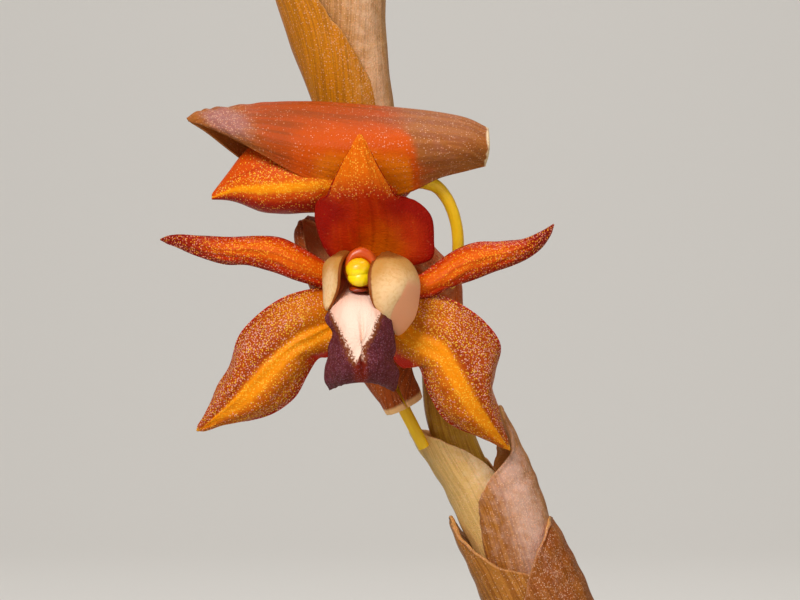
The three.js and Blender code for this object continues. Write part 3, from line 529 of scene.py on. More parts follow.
@dataclass
class Graph:
    """The node tree of one material, with its shader."""

    tree: bpy.types.NodeTree
    shader: bpy.types.Node

    @staticmethod
    def start(name: str) -> tuple[bpy.types.Material, "Graph"]:
        """Makes a material of that name, and its graph with a plain shader."""
        material = bpy.data.materials.new(name)
        material.use_nodes = True
        return material, Graph(material.node_tree, material.node_tree.nodes["Principled BSDF"])

    def link(self, value: Any, socket: bpy.types.NodeSocket) -> None:
        """Feeds a socket with another's output, or sets it to a plain value."""
        if isinstance(value, bpy.types.NodeSocket):
            self.tree.links.new(value, socket)
        else:
            socket.default_value = value

    def add(self, kind: str, inputs: dict[Any, Any] | None = None, **settings: Any) -> bpy.types.Node:
        """Adds a node with its settings and links.

        Args:
            kind: the node's type, without the word ShaderNode.
            inputs: a value or an output socket for each named or numbered input.
            settings: the node's own settings.

        Returns:
            The node.
        """
        made = self.tree.nodes.new("ShaderNode" + kind)
        for key, value in settings.items():
            setattr(made, key, value)
        for key, value in (inputs or {}).items():
            self.link(value, made.inputs[key])
        return made

    def mix(self, share: Any, first: Any, second: Any) -> bpy.types.NodeSocket:
        """Mixes two colours by a share from 0 to 1."""
        return self.add("Mix", {0: share, 6: first, 7: second}, data_type="RGBA").outputs[2]

    def math(self, way: str, *values: Any) -> bpy.types.NodeSocket:
        """Does one sum on numbers or sockets."""
        return self.add("Math", dict(enumerate(values)), operation=way).outputs[0]

    def between(self, value: Any, low: float, high: float) -> bpy.types.NodeSocket:
        """Rises smoothly from 0 at low to 1 at high."""
        inputs = {"Value": value, "From Min": low, "From Max": high}
        return self.add("MapRange", inputs, interpolation_type="SMOOTHSTEP").outputs[0]

    def spot(self, pattern: Pattern, stretch: float = 1.0) -> bpy.types.NodeSocket:
        """Gives the coordinates of a pattern in millimetres.

        Args:
            pattern: what it follows.
            stretch: how many times longer than wide its marks are.

        Returns:
            The coordinates.
        """
        if pattern is Pattern.LENGTHWISE:
            place, scale = self.add("Attribute", attribute_name="lay").outputs["Vector"], (1 / stretch, 1, 1)
        else:
            place = self.add("TexCoord").outputs["Object"]
            flat = 1 / MM if pattern is Pattern.PLACE else 1 / (MM * stretch)
            scale = (flat, flat, 1 / MM)
        return self.add("Mapping", {"Vector": place, "Scale": scale}).outputs[0]

    def noise(self, grain: Grain) -> bpy.types.NodeSocket:
        """Gives the level of a grain pattern."""
        place = self.spot(grain.pattern, grain.stretch)
        inputs = {"Vector": place, "Scale": 1 / grain.size, "Detail": grain.detail}
        return self.add("TexNoise", inputs).outputs["Fac"]

    def cover(self, coat: Coat) -> Any:
        """Gives how much of a coat shows at each place.

        Args:
            coat: the coat.

        Returns:
            A share from 0 to 1.
        """
        share: Any = coat.share
        if coat.where:
            value = self.add("Attribute", attribute_name=coat.where).outputs["Fac"]
            if coat.ragged:
                cloud = self.noise(Grain(coat.ragged_size, detail=4))
                value = self.math("MULTIPLY_ADD", self.math("SUBTRACT", cloud, 0.5), coat.ragged, value)
            share = self.math("MULTIPLY", self.between(value, coat.low, coat.high), share)
        if coat.grain:
            level = self.between(self.noise(coat.grain), coat.grain.low, coat.grain.high)
            share = self.math("MULTIPLY", level, share)
        return share

    def glint(self, glints: Glints, cells: bpy.types.Node, colour: Any) -> bpy.types.NodeSocket:
        """Paints highlights on some of the surface cells.

        Args:
            glints: how many light up, and their two tones.
            cells: the cell pattern.
            colour: the colour under them.

        Returns:
            The colour with its painted glints.
        """
        pick = self.add("SeparateColor", {0: cells.outputs["Color"]})
        core = self.between(cells.outputs["Distance"], 0.55, 0.2)
        level = self.add("Attribute", attribute_name="glint").outputs["Fac"]
        bar = self.math("SUBTRACT", 1.0, self.math("MULTIPLY", level, glints.share))
        chosen = self.math("MULTIPLY", self.math("SUBTRACT", pick.outputs[0], bar), 5.0)
        lit = self.math("MULTIPLY", self.between(chosen, 0.0, 1.0), core)
        gold = self.add("Attribute", attribute_name="gold").outputs["Fac"]
        second = self.between(self.math("ADD", pick.outputs[1], gold), 0.6, 0.75)
        tone = self.mix(second, linear(glints.first), linear(glints.second))
        return self.mix(self.math("MULTIPLY", lit, glints.strength), colour, tone)

    def raised(self, height: Any, distance: float, strength: float, under: Any) -> bpy.types.NodeSocket:
        """Turns a height into a bump.

        Args:
            height: the height from 0 to 1.
            distance: how high 1 stands, in millimetres.
            strength: how much of it shows.
            under: the normal that it adds to, if there is one.

        Returns:
            The bumped normal.
        """
        inputs = {"Height": height, "Distance": distance * MM, "Strength": strength}
        return self.add("Bump", inputs | ({"Normal": under} if under else {})).outputs[0]

    def shade(self, colour: Any, normal: Any, numbers: dict[str, float]) -> None:
        """Sets the shader's colour, normal and plain numbers."""
        self.link(colour, self.shader.inputs["Base Color"])
        if normal:
            self.link(normal, self.shader.inputs["Normal"])
        for key, value in numbers.items():
            self.shader.inputs[key].default_value = value


def lines(size: float, low: float = 0.4, high: float = 0.6, stretch: float = 20, detail: float = 3) -> Grain:
    """Gives a pattern of lines along the piece."""
    return Grain(size, low, high, detail, Pattern.LENGTHWISE, stretch)


def glistening(
    name: str,
    body: str,
    coats: tuple[Coat, ...],
    glints: Glints,
    waves: tuple[float, float, float],
    gloss: float = 0.1,
    roughness: float = 0.42,
) -> Finish:
    """Makes flower tissue of domed cells about 0.06 mm wide, which glint one by one like fine sugar; the
    glints are painted highlights.

    The cells are drawn 0.17 to 0.18 mm wide so that they show.

    Args:
        name: the tissue's name.
        body: its main colour.
        coats: the colours over it.
        glints: its cells.
        waves: the width and height of its swellings, and the height of its fine lines, in millimetres.
        gloss: how strongly it shines.
        roughness: how matt it is.

    Returns:
        The finish.
    """
    width, height, line_height = waves
    relief = (Relief(Grain(width), height), Relief(lines(0.5, stretch=8), line_height))
    return Finish(name, body, coats, relief, glints, roughness, gloss=gloss, depth=0.08)


SEPAL_TISSUE = glistening(
    "glistening sepal tissue",
    "#b42a02",
    (
        Coat("#cf4a02", share=0.3, grain=lines(0.45, 0.45, 0.7, 9)),
        # On the upper sepal, the gold coat is partly painted light at the tip, where it turns up, and the
        # dark coat paints shade on the shoulders, where the hood turns down.
        Coat("#dc6602", where="gold", ragged=0.35, low=0.08, high=0.9),
        Coat("#940f01", where="dark", ragged=0.3, low=0.05, high=0.95),
        Coat("#7a1200", share=0.3, where="vein"),
    ),
    Glints(0.18, 0.5, "#f9b070", "#f9b03a", 0.8),
    waves=(0.9, 0.1, 0.05),
    roughness=0.45,
)
LATERAL_TISSUE = glistening(
    "glistening lower sepal tissue",
    "#ab4303",
    (
        Coat("#7c2604", share=0.4, grain=Grain(0.5, 0.5, 0.66)),
        Coat("#ee8a04", where="gold", ragged=0.3, low=0.05, high=0.75),
        Coat("#861703", where="dark", ragged=0.3, low=0.08, high=0.9),
        Coat("#c21d03", where="vein"),
    ),
    Glints(0.17, 1.05, "#f4b6a4", "#ffc840", 0.8),
    waves=(0.8, 0.14, 0.05),
    gloss=0.12,
)
PETAL_TISSUE = glistening(
    "glistening petal tissue",
    "#b32a02",
    (
        Coat("#d95a03", where="gold", ragged=0.35, low=0.05, high=0.9),
        Coat("#7c0d02", where="dark", ragged=0.35, low=0.1, high=0.9),
        Coat("#7a1200", share=0.35, where="vein"),
    ),
    Glints(0.18, 0.95, "#f2a184", "#f8a62a", 0.8),
    waves=(0.8, 0.12, 0.06),
)
BUD_TISSUE = glistening(
    "glistening bud tissue",
    "#cc4203",
    (
        Coat("#dd6203", share=0.5, grain=lines(0.5, 0.42, 0.62, 8)),
        # The gold coat paints a highlight along the keel, and the dark coat paints shade on the underside
        # and draws the seam of the lap.
        Coat("#f08c04", where="gold", ragged=0.8, ragged_size=0.5, low=0.15, high=1.0),
        Coat("#a01a02", where="dark", ragged=0.25, low=0.08, high=0.9),
    ),
    Glints(0.17, 0.8, "#f9b860", "#fcc030"),
    waves=(0.7, 0.1, 0.05),
    gloss=0.12,
)
# The lip is velvety: the cream in its middle breaks up into fine brown dots along a ragged border.
LIP_TISSUE = Finish(
    name="velvety lip tissue",
    body="#5a1c20",
    coats=(
        Coat("#6d2c3a", share=0.6, grain=Grain(0.5, 0.42, 0.66)),
        Coat("#7a3a14", where="pale", low=-0.16, high=0.0, ragged=0.34, ragged_size=0.2),
        Coat("#f9d2bc", where="pale", low=0.0, high=0.1, ragged=0.42, ragged_size=0.2),
        Coat("#e9a184", share=0.5, where="blush"),
        Coat("#7e1c06", where="dark", low=0.1, high=0.8, ragged=0.2),
    ),
    relief=(Relief(Grain(0.35), 0.06),),
    glints=Glints(0.17, 0.8, "#a0667a", "#9a5450", 0.55),
    roughness=0.6,
    gloss=0.2,
)
# Side lobes, column and anther are waxy: the skin is smooth and lets a little light in.
LOBE_TISSUE = Finish(
    name="waxy lip lobe tissue",
    body="#efc590",
    coats=(
        Coat("#e0aa6c", share=0.5, grain=Grain(0.3, 0.45, 0.7)),
        Coat("#b87a20", share=0.85, where="warm", ragged=0.3, ragged_size=0.3),
        # The two peach coats are painted shade on each lobe's outer face past the fold, which turns away
        # from the key light.
        Coat("#f2a478", where="gold", low=0.0, high=0.8, ragged=0.15),
        Coat("#e0905c", share=0.7, where="gold", low=1.0, high=2.0),
        # The dark coat draws the brown margin and paints shade in the crease at the fold.
        Coat("#844008", where="dark", low=0.2, high=0.7, ragged=0.3, ragged_size=0.3),
    ),
    relief=(Relief(Grain(0.25), 0.05),),
    roughness=0.5,
    gloss=0.2,
    depth=0.15,
)
HOOD_TISSUE = Finish(
    name="waxy column tissue",
    body="#d85404",
    coats=(
        Coat("#ef8410", where="gold"),
        Coat("#8a2c06", where="dark"),
        Coat("#c03a04", share=0.5, grain=Grain(0.6)),
    ),
    relief=(Relief(Grain(0.4), 0.03),),
    roughness=0.35,
    depth=0.12,
)
# The anther cap is wet and smooth: a clear yellow with a small bright highlight. Its darker orange top is
# painted shadow from the hood's rim.
CAP_TISSUE = Finish(
    name="waxy anther tissue",
    body="#f4a800",
    coats=(Coat("#ffdc0a", where="gold"), Coat("#e58a02", where="dark")),
    relief=(Relief(Grain(0.4), 0.03),),
    roughness=0.3,
    depth=0.15,
)
# On the stalks the gold coat paints light on the side toward the viewer and the dark coat paints shade on
# the far side.
STALK_TISSUE = Finish(
    name="waxy flower stalk",
    body="#fab000",
    coats=(Coat("#ffc81e", where="gold", high=0.5), Coat("#d08002", share=0.8, where="dark")),
    relief=(Relief(Grain(0.3), 0.06),),
    roughness=0.32,
    gloss=0.25,
    depth=0.12,
)


def striate(
    name: str,
    body: str,
    warm: str,
    line: str,
    bloom_and_sheen: str,
    depth: float = 0.4,
    torn: str = "#fdc384",
    inner: str = "#c8803c",
) -> Finish:
    """Makes the skin of a bract, sheath or stem: satin, with fine lengthwise lines and a pinkish bloom that
    is partly painted sheen.

    Args:
        name: the finish's name.
        body: its main colour.
        warm: the colour of its warmer zones.
        line: the colour between the raised lines.
        bloom_and_sheen: the colour of its bloom and of its painted sheen.
        depth: how strongly the lines show.
        torn: the colour of a torn rim.
        inner: the colour of its inner face, lightened as painted light that stands in for light through the
            skin.

    Returns:
        The finish.
    """
    return Finish(
        name=name,
        body=body,
        coats=(
            Coat(warm, where="warm", low=0.1, high=0.9, ragged=0.5, ragged_size=2.2),
            Coat(line, share=depth, grain=lines(0.22, 0.54, 0.42, 50)),
            # The bloom coat is partly painted sheen, strongest in the band where the light falls.
            Coat(bloom_and_sheen, where="bloom_and_sheen", low=0.15, high=1.0, ragged=0.8, ragged_size=0.8, share=0.7),
            # The two glow coats are painted glow: the bud's orange light seen through the bract.
            Coat("#c84c00", where="glow", low=0.1, high=1.0, ragged=0.6, ragged_size=1.6),
            Coat("#e27404", where="glow", low=1.0, high=1.8, ragged=0.4),
            Coat(torn, where="torn", low=0.3, high=0.9),
            # The inner face is lightened: painted light that stands in for light through the skin.
            Coat(inner, share=0.7, where="face", low=1.0, high=0.0),
        ),
        relief=(Relief(lines(0.3, stretch=30), 0.07), Relief(lines(0.12, stretch=18), 0.03)),
        glints=Glints(0.17, 0.3, "#f0bd9c", "#f0a070", 0.5),
        roughness=0.42,
        gloss=0.12,
        depth=0.06,
    )


BRACT_SKIN = striate("bract skin over the bud", "#a05c26", "#ac440c", "#7c3c14", "#a06a68", 0.45, "#e8c9a0")
# This bract's inner face is lightened most: painted light on the strip that shows beside the upper sepal.
OPEN_BRACT_SKIN = striate("bract skin", "#a4541e", "#ac420c", "#6a2c10", "#d89070", 0.5, inner="#f6ac70")
TIP_LEFT_SKIN = striate("golden bract skin", "#c27c14", "#c47206", "#8a5212", "#dba468", 0.5)
TIP_RIGHT_SKIN = striate("pale bract skin", "#bf8850", "#b87a3c", "#8e5e2e", "#f4c8a4", 0.55)
SPIKE_SKIN = striate("spike skin", "#b58628", "#b04406", "#7a3408", "#e8c48c")
PALE_SHEATH_SKIN = striate("pale sheath skin", "#d8ac68", "#c79c4c", "#a87c3c", "#fdecd0", 0.4)
BROWN_SHEATH_SKIN = striate(
    "brown sheath skin", "#b0702c", "#7c3208", "#74380e", "#dcb4a4", 0.55, "#d8a07a", "#dca05c"
)
# A leaf's skin is thin and waxy: it gives a satin shine over pale nerves and clouded greens.
LEAF_SKIN = Finish(
    name="pleated leaf",
    body="#2f5c1d",
    coats=(
        Coat("#568428", grain=Grain(14, 0.35, 0.68, 4)),
        Coat("#5b8a2c", share=0.4, grain=lines(0.5, 0.4, 0.65)),
        Coat("#7fa24a", share=0.55, where="nerve"),
        Coat("#a08a4a", where="dry", low=0.4, high=0.9),
        # The underside is paler and greyer than the top.
        Coat("#6d9550", share=0.7, where="face", low=1.0, high=0.0),
    ),
    relief=(Relief(lines(0.5), 0.12), Relief(Grain(1.4), 0.1, 0.35)),
    roughness=0.42,
    depth=0.06,
)
# A bulb's skin is tight and waxy, green shaded with yellow, with a low shine along its wrinkles.
BULB_SKIN = Finish(
    name="smooth bulb skin",
    body="#47611f",
    coats=(
        Coat("#6f8a2f", grain=lines(1.1, 0.35, 0.65, 8)),
        Coat("#a3a548", share=0.6, grain=Grain(7, 0.45, 0.7)),
        Coat("#8d7a3c", grain=Grain(0.7, 0.66, 0.78)),
        Coat("#8a6a35", where="warm", low=0.2),
    ),
    relief=(Relief(lines(1.1, stretch=8), 0.5), Relief(Grain(0.6), 0.06, 0.4)),
    roughness=0.38,
    depth=0.06,
)
# A dry sheath has gone to parallel fibres: tan, dull and streaked.
DRY_SHEATH = Finish(
    name="dried sheath",
    body="#7c5c33",
    coats=(
        Coat("#b3925c", grain=lines(0.42, 0.38, 0.62, 30, 4)),
        Coat("#d3bd8c", share=0.5, grain=Grain(3, 0.45, 0.7)),
        Coat("#7c5c33", share=0.4, where="face", low=1.0, high=0.0),
    ),
    relief=(Relief(lines(0.42, stretch=30, detail=4), 0.25, 0.8),),
    roughness=0.78,
    ior=1.4,
)


def rough(name: str, body: str, pale: str, deep: str, grain: float) -> Finish:
    """Makes dry, scaly plant matter whose tone changes from one piece to the next by the value warm."""
    return Finish(
        name=name,
        body=body,
        coats=(
            Coat(pale, where="warm"),
            Coat(deep, grain=Grain(grain, 0.58, 0.4, 5)),
            Coat(pale, share=0.4, grain=Grain(0.8, 0.55, 0.72)),
        ),
        relief=(Relief(Grain(grain, detail=5), 0.7, 0.8), Relief(Grain(grain / 6), 0.15)),
        roughness=0.85,
    )


RHIZOME_SKIN = rough("rhizome skin", "#6b5530", "#a89468", "#4a3a20", 1.6)
# Composted bark is dry and crumbly: matt, deep brown, with paler faces where it broke.
ORCHID_BARK = rough("orchid bark", "#54341f", "#8a5f3c", "#2c1a10", 2.4)
# Unglazed terracotta, turned on a wheel and fired: dry, with faint rings, damp below and chalky stains.
TERRACOTTA = Finish(
    name="terracotta",
    body="#a8542f",
    coats=(
        Coat("#c2714a", grain=Grain(16, 0.35, 0.68, 5)),
        Coat("#c2714a", share=0.3, grain=Grain(1.6, 0.4, 0.65, 4, Pattern.TURNED, 50)),
        Coat("#7d3c22", share=0.45, where="warm", low=0.1),
        Coat("#d9b79c", share=0.7, where="bloom_and_sheen", grain=Grain(9, 0.55, 0.7, 6)),
        Coat("#7a3a20", share=0.5, grain=Grain(0.45, 0.62, 0.75)),
    ),
    relief=(
        Relief(Grain(1.6, detail=4, pattern=Pattern.TURNED, stretch=50), 0.25),
        Relief(Grain(0.45), 0.12),
    ),
    roughness=0.88,
    ior=1.5,
)


@dataclass(frozen=True)
class Blade(Piece):
    """A flat part of the flower, traced as stations from foot to tip, each from edge to edge."""

    stations: Trace
    puff: float = 0.0
    rows: int = 100
    columns: int = 44
    facing: Facing = Facing.VIEWER

    def grid(self, t: np.ndarray, s: np.ndarray) -> np.ndarray:
        """Draws the part's middle surface.

        Args:
            t: places from foot (0) to tip (1).
            s: places from one edge (-1) to the other (1).

        Returns:
            Points in rows along t and columns along s.
        """
        rails = smooth(traced(self.stations), t)
        grid = smooth(rails.swapaxes(0, 1), (s + 1) / 2).swapaxes(0, 1).copy()
        width = np.linalg.norm(grid[:, -1] - grid[:, 0], axis=-1)
        grid[..., 1] -= self.puff * np.minimum(width / 6, 1)[:, None] * np.sin(np.pi * abs(s)) ** 2
        return grid

    def tints(self, t: np.ndarray, s: np.ndarray) -> dict[str, Any]:
        """Gives the zones of colour at each place."""
        return {}

    def relief(self, t: np.ndarray, s: np.ndarray) -> np.ndarray:
        """Gives the rise of the surface in millimetres at each place."""
        cells = np.sin(9 * t + 5 * s) * np.sin(17 * s - 4 * t + 1)
        return 0.05 * cells + 0.03 * np.sin(31 * t + 13 * s)

    def form(self) -> Form:
        """Draws the part.

        Returns:
            A closed sheet in the photograph's outline.
        """
        t = np.linspace(0, 1, self.rows)
        s = np.linspace(-1, 1, self.columns)
        grid = self.grid(t, s)
        across = np.linalg.norm(grid[:, -1] - grid[:, 0], axis=-1)[:, None]
        length = np.linalg.norm(np.diff(grid.mean(1), axis=0), axis=1).sum()
        t, s = np.meshgrid(t, s, indexing="ij")
        values = self.tints(t, s) | {"lay": np.stack([t * length, s * across / 2, 0 * s], -1)}
        fade = np.clip(across / 2, 0, 1)
        return sheet(grid, SKIN, values, np.array(self.facing.value), self.relief(t, s) * fade)


class DorsalSepal(Blade):
    """The broad upper sepal, hooded behind the column and drawn out to a point that leans forward."""

    def tints(self, t: np.ndarray, s: np.ndarray) -> dict[str, np.ndarray]:
        """Colours the foot and tip orange, with dark red shoulders, margins and three veins; the dark
        shoulders are painted shade where the hood turns down, and the tip's orange is partly painted light
        where it turns up.
        """
        low = soft_step(0.64, 0.46, t)
        # The dark shoulders are painted shade where the hood turns down; the tip's gold and glints are
        # partly its own colour and partly painted light where it turns up.
        shoulder = bump_at(0.46, 0.09, t - 0.03 * s) * soft_step(0.0, 0.6, abs(s + 0.05))
        margin = 0.75 * soft_step(0.55, 1, abs(s)) * low + soft_step(0.9, 0.97, abs(s))
        vein = sum(bump_at(at, 0.03, s) for at in (-0.22, 0.02, 0.24)) * soft_step(0.1, 0.3, t)
        return {
            "gold": 0.8 * soft_step(0.52, 0.76, t) + 0.9 * bump_at(0.16, 0.22, t) * bump_at(0.15, 0.45, s),
            "dark": 0.85 * shoulder + margin,
            "vein": vein * soft_step(0.7, 0.5, t),
            "glint": 0.12 + 0.88 * soft_step(0.5, 0.64, t),
        }


class Petal(Blade):
    """A narrow petal, orange at the foot, that darkens to a red-brown tip."""

    def tints(self, t: np.ndarray, s: np.ndarray) -> dict[str, np.ndarray]:
        """Keeps an orange band along the middle and darkens the tip and margins."""
        band = bump_at(-0.1, 0.5, s) * soft_step(1, 0.3, t)
        dark = 0.85 * soft_step(0.5, 0.95, t) + 0.7 * soft_step(0.35, 1, s) + 0.45 * soft_step(-0.6, -1, s)
        vein = bump_at(0, 0.05, s) * soft_step(0.05, 0.3, t)
        return {"gold": 1.05 * band, "dark": dark, "vein": vein, "glint": 0.5 + 0.4 * soft_step(0.2, 0.6, t)}


class LateralSepal(Blade):
    """A lower sepal, keeled along its golden midrib and covered with pinkish glints."""

    def tints(self, t: np.ndarray, s: np.ndarray) -> dict[str, np.ndarray]:
        """Draws the golden midrib, the dark margins and the red fold behind the lip."""
        rib = 1.1 * bump_at(0.13, 0.2, s) * soft_step(0.05, 0.2, t)
        inner = 0.25 * soft_step(0.1, 0.6, s) * soft_step(1, 0.7, s) * soft_step(0.2, 0.4, t)
        fold = soft_step(0.5, 0.8, s) * bump_at(0.25, 0.1, t)
        red = np.maximum(1.3 * fold, 0.8 * soft_step(0.94, 0.99, abs(s)))
        dark = 0.7 * soft_step(0.75, 1, abs(s)) + 0.2 * soft_step(0.15, 0.05, t)
        dark = dark + 0.4 * bump_at(-0.25, 0.14, s) * bump_at(0.35, 0.3, t)
        glint = 0.55 + 0.45 * soft_step(0.0, -0.5, s) + 0.3 * soft_step(0.5, 0.8, s)
        glint = glint * soft_step(0.06, 0.2, t)
        gold = rib + inner + soft_step(0.95, 1, t) + 0.35 * soft_step(0.5, 0.15, t)
        return {"gold": gold, "dark": dark, "vein": red, "glint": glint * (1 - fold)}

    def relief(self, t: np.ndarray, s: np.ndarray) -> np.ndarray:
        """Raises the midrib and ripples the halves."""
        return super().relief(t, s) + 0.2 * bump_at(0.05, 0.1, s) - 0.08 * bump_at(0.3, 0.1, s)


class LipFloor(Blade):
    """The middle lobe of the lip: cream down the middle, maroon at the flanks, notched at the end."""

    def tints(self, t: np.ndarray, s: np.ndarray) -> dict[str, np.ndarray]:
        """Gives how far inside the cream patch each place lies, and the red strip at the end."""
        half = smooth([1.3, 1.3, 1.25, 1.1, 0.66, 0.52, 0.38, 0.2, -0.12, -0.4, -0.6], t[:, 0])[:, None]
        notch = 0.3 * bump_at(-0.08, 0.06, s) * soft_step(0.6, 0.68, t)
        pale = half - abs(s + 0.08) - notch
        blush = soft_step(0.15, 0.8, abs(s)) + 0.5 * bump_at(0.05, 0.03, s)
        return {
            "pale": pale,
            "blush": blush * soft_step(0.0, 0.1, pale),
            "dark": bump_at(-0.02, 0.2, s) * soft_step(0.64, 0.74, t) * soft_step(1.1, 0.85, t),
            "glint": soft_step(0.02, -0.15, pale),
        }

    def relief(self, t: np.ndarray, s: np.ndarray) -> np.ndarray:
        """Sinks a groove down the middle, between two low keels."""
        groove = -0.3 * bump_at(0.02, 0.06, s) * soft_step(0.3, 0.5, t) * soft_step(0.9, 0.75, t)
        keels = 0.3 * (bump_at(0.13, 0.07, s) + bump_at(-0.13, 0.07, s)) * soft_step(0.35, 0.55, t)
        warts = 0.06 * np.sin(41 * t + 3 * s) * np.sin(37 * s) * soft_step(0.25, 0.5, abs(s))
        return groove + keels * soft_step(0.85, 0.65, t) + warts


@dataclass(frozen=True)
class LipLobe(Blade):
    """A side lobe of the lip that stands up beside the column, with a thin brown margin."""

    fold: float = 0.3
    amber: float = 0.0

    def tints(self, t: np.ndarray, s: np.ndarray) -> dict[str, np.ndarray]:
        """Paints shade on the face outside the fold, on its lower part and in the crease, and draws the
        margin along the free edge.
        """
        margin = soft_step(0.92, 0.98, s) * soft_step(0.02, 0.15, t) + 0.6 * soft_step(0.24, 0.08, t)
        # Past the fold the outer face, and the lower part, are painted shade in the value gold; the crease
        # line is painted shade in the value dark.
        outside = soft_step(self.fold + 0.04, self.fold - 0.04, s) * soft_step(0.3, 0.5, t)
        crease = 0.35 * bump_at(self.fold, 0.03, s) * soft_step(0.4, 0.6, t)
        low = soft_step(0.2, -0.5, s) * soft_step(0.5, 0.9, t)
        warm = 0.9 * soft_step(0.55, 0.15, t) + 0.5 * soft_step(0.6, 0.95, s)
        warm = warm + self.amber * soft_step(0.7, -0.1, s)
        return {"gold": outside + low, "dark": margin + crease + soft_step(0.97, 1, t), "warm": warm}

    def relief(self, t: np.ndarray, s: np.ndarray) -> np.ndarray:
        """Keeps the lobe smooth but for a faint wave."""
        return 0.04 * np.sin(5 * t + 3 * s)


def tatters(seed: int, reach: float, rise: np.ndarray) -> list[np.ndarray]:
    """Draws the frayed lines of two margins.

    Args:
        seed: the seed of the random draws.
        reach: how far they fray, in degrees.
        rise: how much of that each place has.

    Returns:
        Degrees at each place, for either margin.
    """
    wild = np.random.default_rng(seed)
    return [np.convolve(wild.normal(0, reach, len(rise)), np.ones(3) / 3, "same") * rise for _ in range(2)]


@dataclass(frozen=True)
class Rolled(Piece):
    """A sheath or bract rolled round a line of knots; its two margins run at given angles."""

    knots: Knots
    front: tuple[float, ...]
    back: tuple[float, ...]
    warm: float
    bloom_and_sheen: float
    torn_foot: bool = False
    scars: tuple[float, ...] = ()
    fray: float = 1.0
    # The angle round the line, in degrees, of a band where bloom and glints are raised as painted sheen.
    lit: float = 60.0
    rows: int = 90
    columns: int = 64

    def form(self) -> Form:
        """Draws the sheath.

        Returns:
            A closed sheet with lengthwise ridges and slightly frayed margins.
        """
        t = np.linspace(0, 1, self.rows)
        jag = tatters(len(self.name), self.fray, soft_step(0.05, 0.4, t))
        low, high = smooth(self.back, t) + jag[0], smooth(self.front, t) + jag[1]
        wrap = Way.traced(self.knots).wrap(low, high, self.columns)
        t, s = np.meshgrid(t, np.linspace(-1, 1, self.columns), indexing="ij")
        flare = 1 + 0.05 * soft_step(0.8, 1, abs(s)) * soft_step(0.1, 0.5, t)
        ridge = 0.03 * np.sin(16 * wrap.angle) * np.clip(wrap.radius / 1.5, 0, 1)
        puckers = 0.08 * np.sin(23 * t) * np.sin(3 * wrap.angle + 11 * t)
        grid = wrap.centre + (wrap.radius * flare)[..., None] * wrap.outward
        values = self.tints(t, s, np.degrees(wrap.angle)) | {"lay": wrap.lay}
        return sheet(grid, SKIN, values, wrap.outward, ridge + puckers, edge=0.5)

    def tints(self, t: np.ndarray, s: np.ndarray, degrees: np.ndarray) -> dict[str, Any]:
        """Gives the zones of colour.

        Args:
            t: places from foot to tip.
            s: places from margin to margin.
            degrees: the angle of each place round the line.

        Returns:
            The values warm, bloom_and_sheen, torn and glint; bloom and glints are raised in a band of
            painted sheen round the angle lit.
        """
        # More bloom and glints in a band about the angle lit: painted sheen.
        light = bump_at(self.lit, 30, degrees)
        torn = soft_step(0.1, 0.02, t) if self.torn_foot else soft_step(0.92, 1, abs(s)) * 0.5
        torn = torn + sum(0.8 * bump_at(scar, 0.007, t) for scar in self.scars)
        bloom_and_sheen = self.bloom_and_sheen * (0.35 + 0.65 * light)
        return {"warm": self.warm, "bloom_and_sheen": bloom_and_sheen, "torn": torn, "glint": 1 + 1.3 * light}


@dataclass(frozen=True)
class BudBract(Blade):
    """The boat-shaped bract over the bud, its keel on top and its foot torn open."""

    rows: int = 130
    columns: int = 100
    facing: Facing = Facing.SKY

    def tints(self, t: np.ndarray, s: np.ndarray) -> dict[str, np.ndarray]:
        """Paints the bud's glow through the middle, pales the torn foot and paints a sheen on the crumpled
        shoulder.
        """
        # The glow is painted: the bud's orange light through the bract, brightest low toward one margin. The
        # bloom on the shoulder is painted sheen, and the glints follow it.
        edge = 0.25 + 0.16 * soft_step(-0.45, -0.1, s)
        glow = soft_step(edge, edge + 0.05, t) * soft_step(0.66, 0.46, t) * soft_step(-0.1, -0.5, s)
        lower_glow = 1.4 * bump_at(0.4, 0.15, t) * soft_step(-0.45, -0.85, s)
        bloom_and_sheen = 1.3 * bump_at(0.79, 0.1, t) * bump_at(-0.4, 0.35, s) + 0.3 * bump_at(0.2, 0.2, t)
        warm = 0.95 * soft_step(0.22, 0.4, t) * soft_step(0.8, 0.6, t) * soft_step(0.3, -0.1, s)
        torn = soft_step(0.026, 0.0, t + 0.004 * np.sin(23 * s + 2 * np.sin(9 * s)))
        return {"warm": warm, "bloom_and_sheen": bloom_and_sheen, "glow": glow + lower_glow, "torn": torn, "glint": 0.6 + 1.8 * bloom_and_sheen}

    def relief(self, t: np.ndarray, s: np.ndarray) -> np.ndarray:
        """Raises fine lengthwise nerves and wrinkles the shoulder near the tip."""
        nerves = 0.022 * np.sin(s * 88 + 0.6 * np.sin(7 * t)) * soft_step(1, 0.8, t)
        crumple = bump_at(0.78, 0.12, t) * bump_at(-0.3, 0.4, s)
        folds = np.sin(57 * t + 9 * s) * np.sin(19 * s - 32 * t + 0.7) + 0.5 * np.sin(91 * t - 17 * s)
        return nerves + 0.18 * crumple * folds + 0.05 * np.sin(19 * t) * np.sin(8 * s)


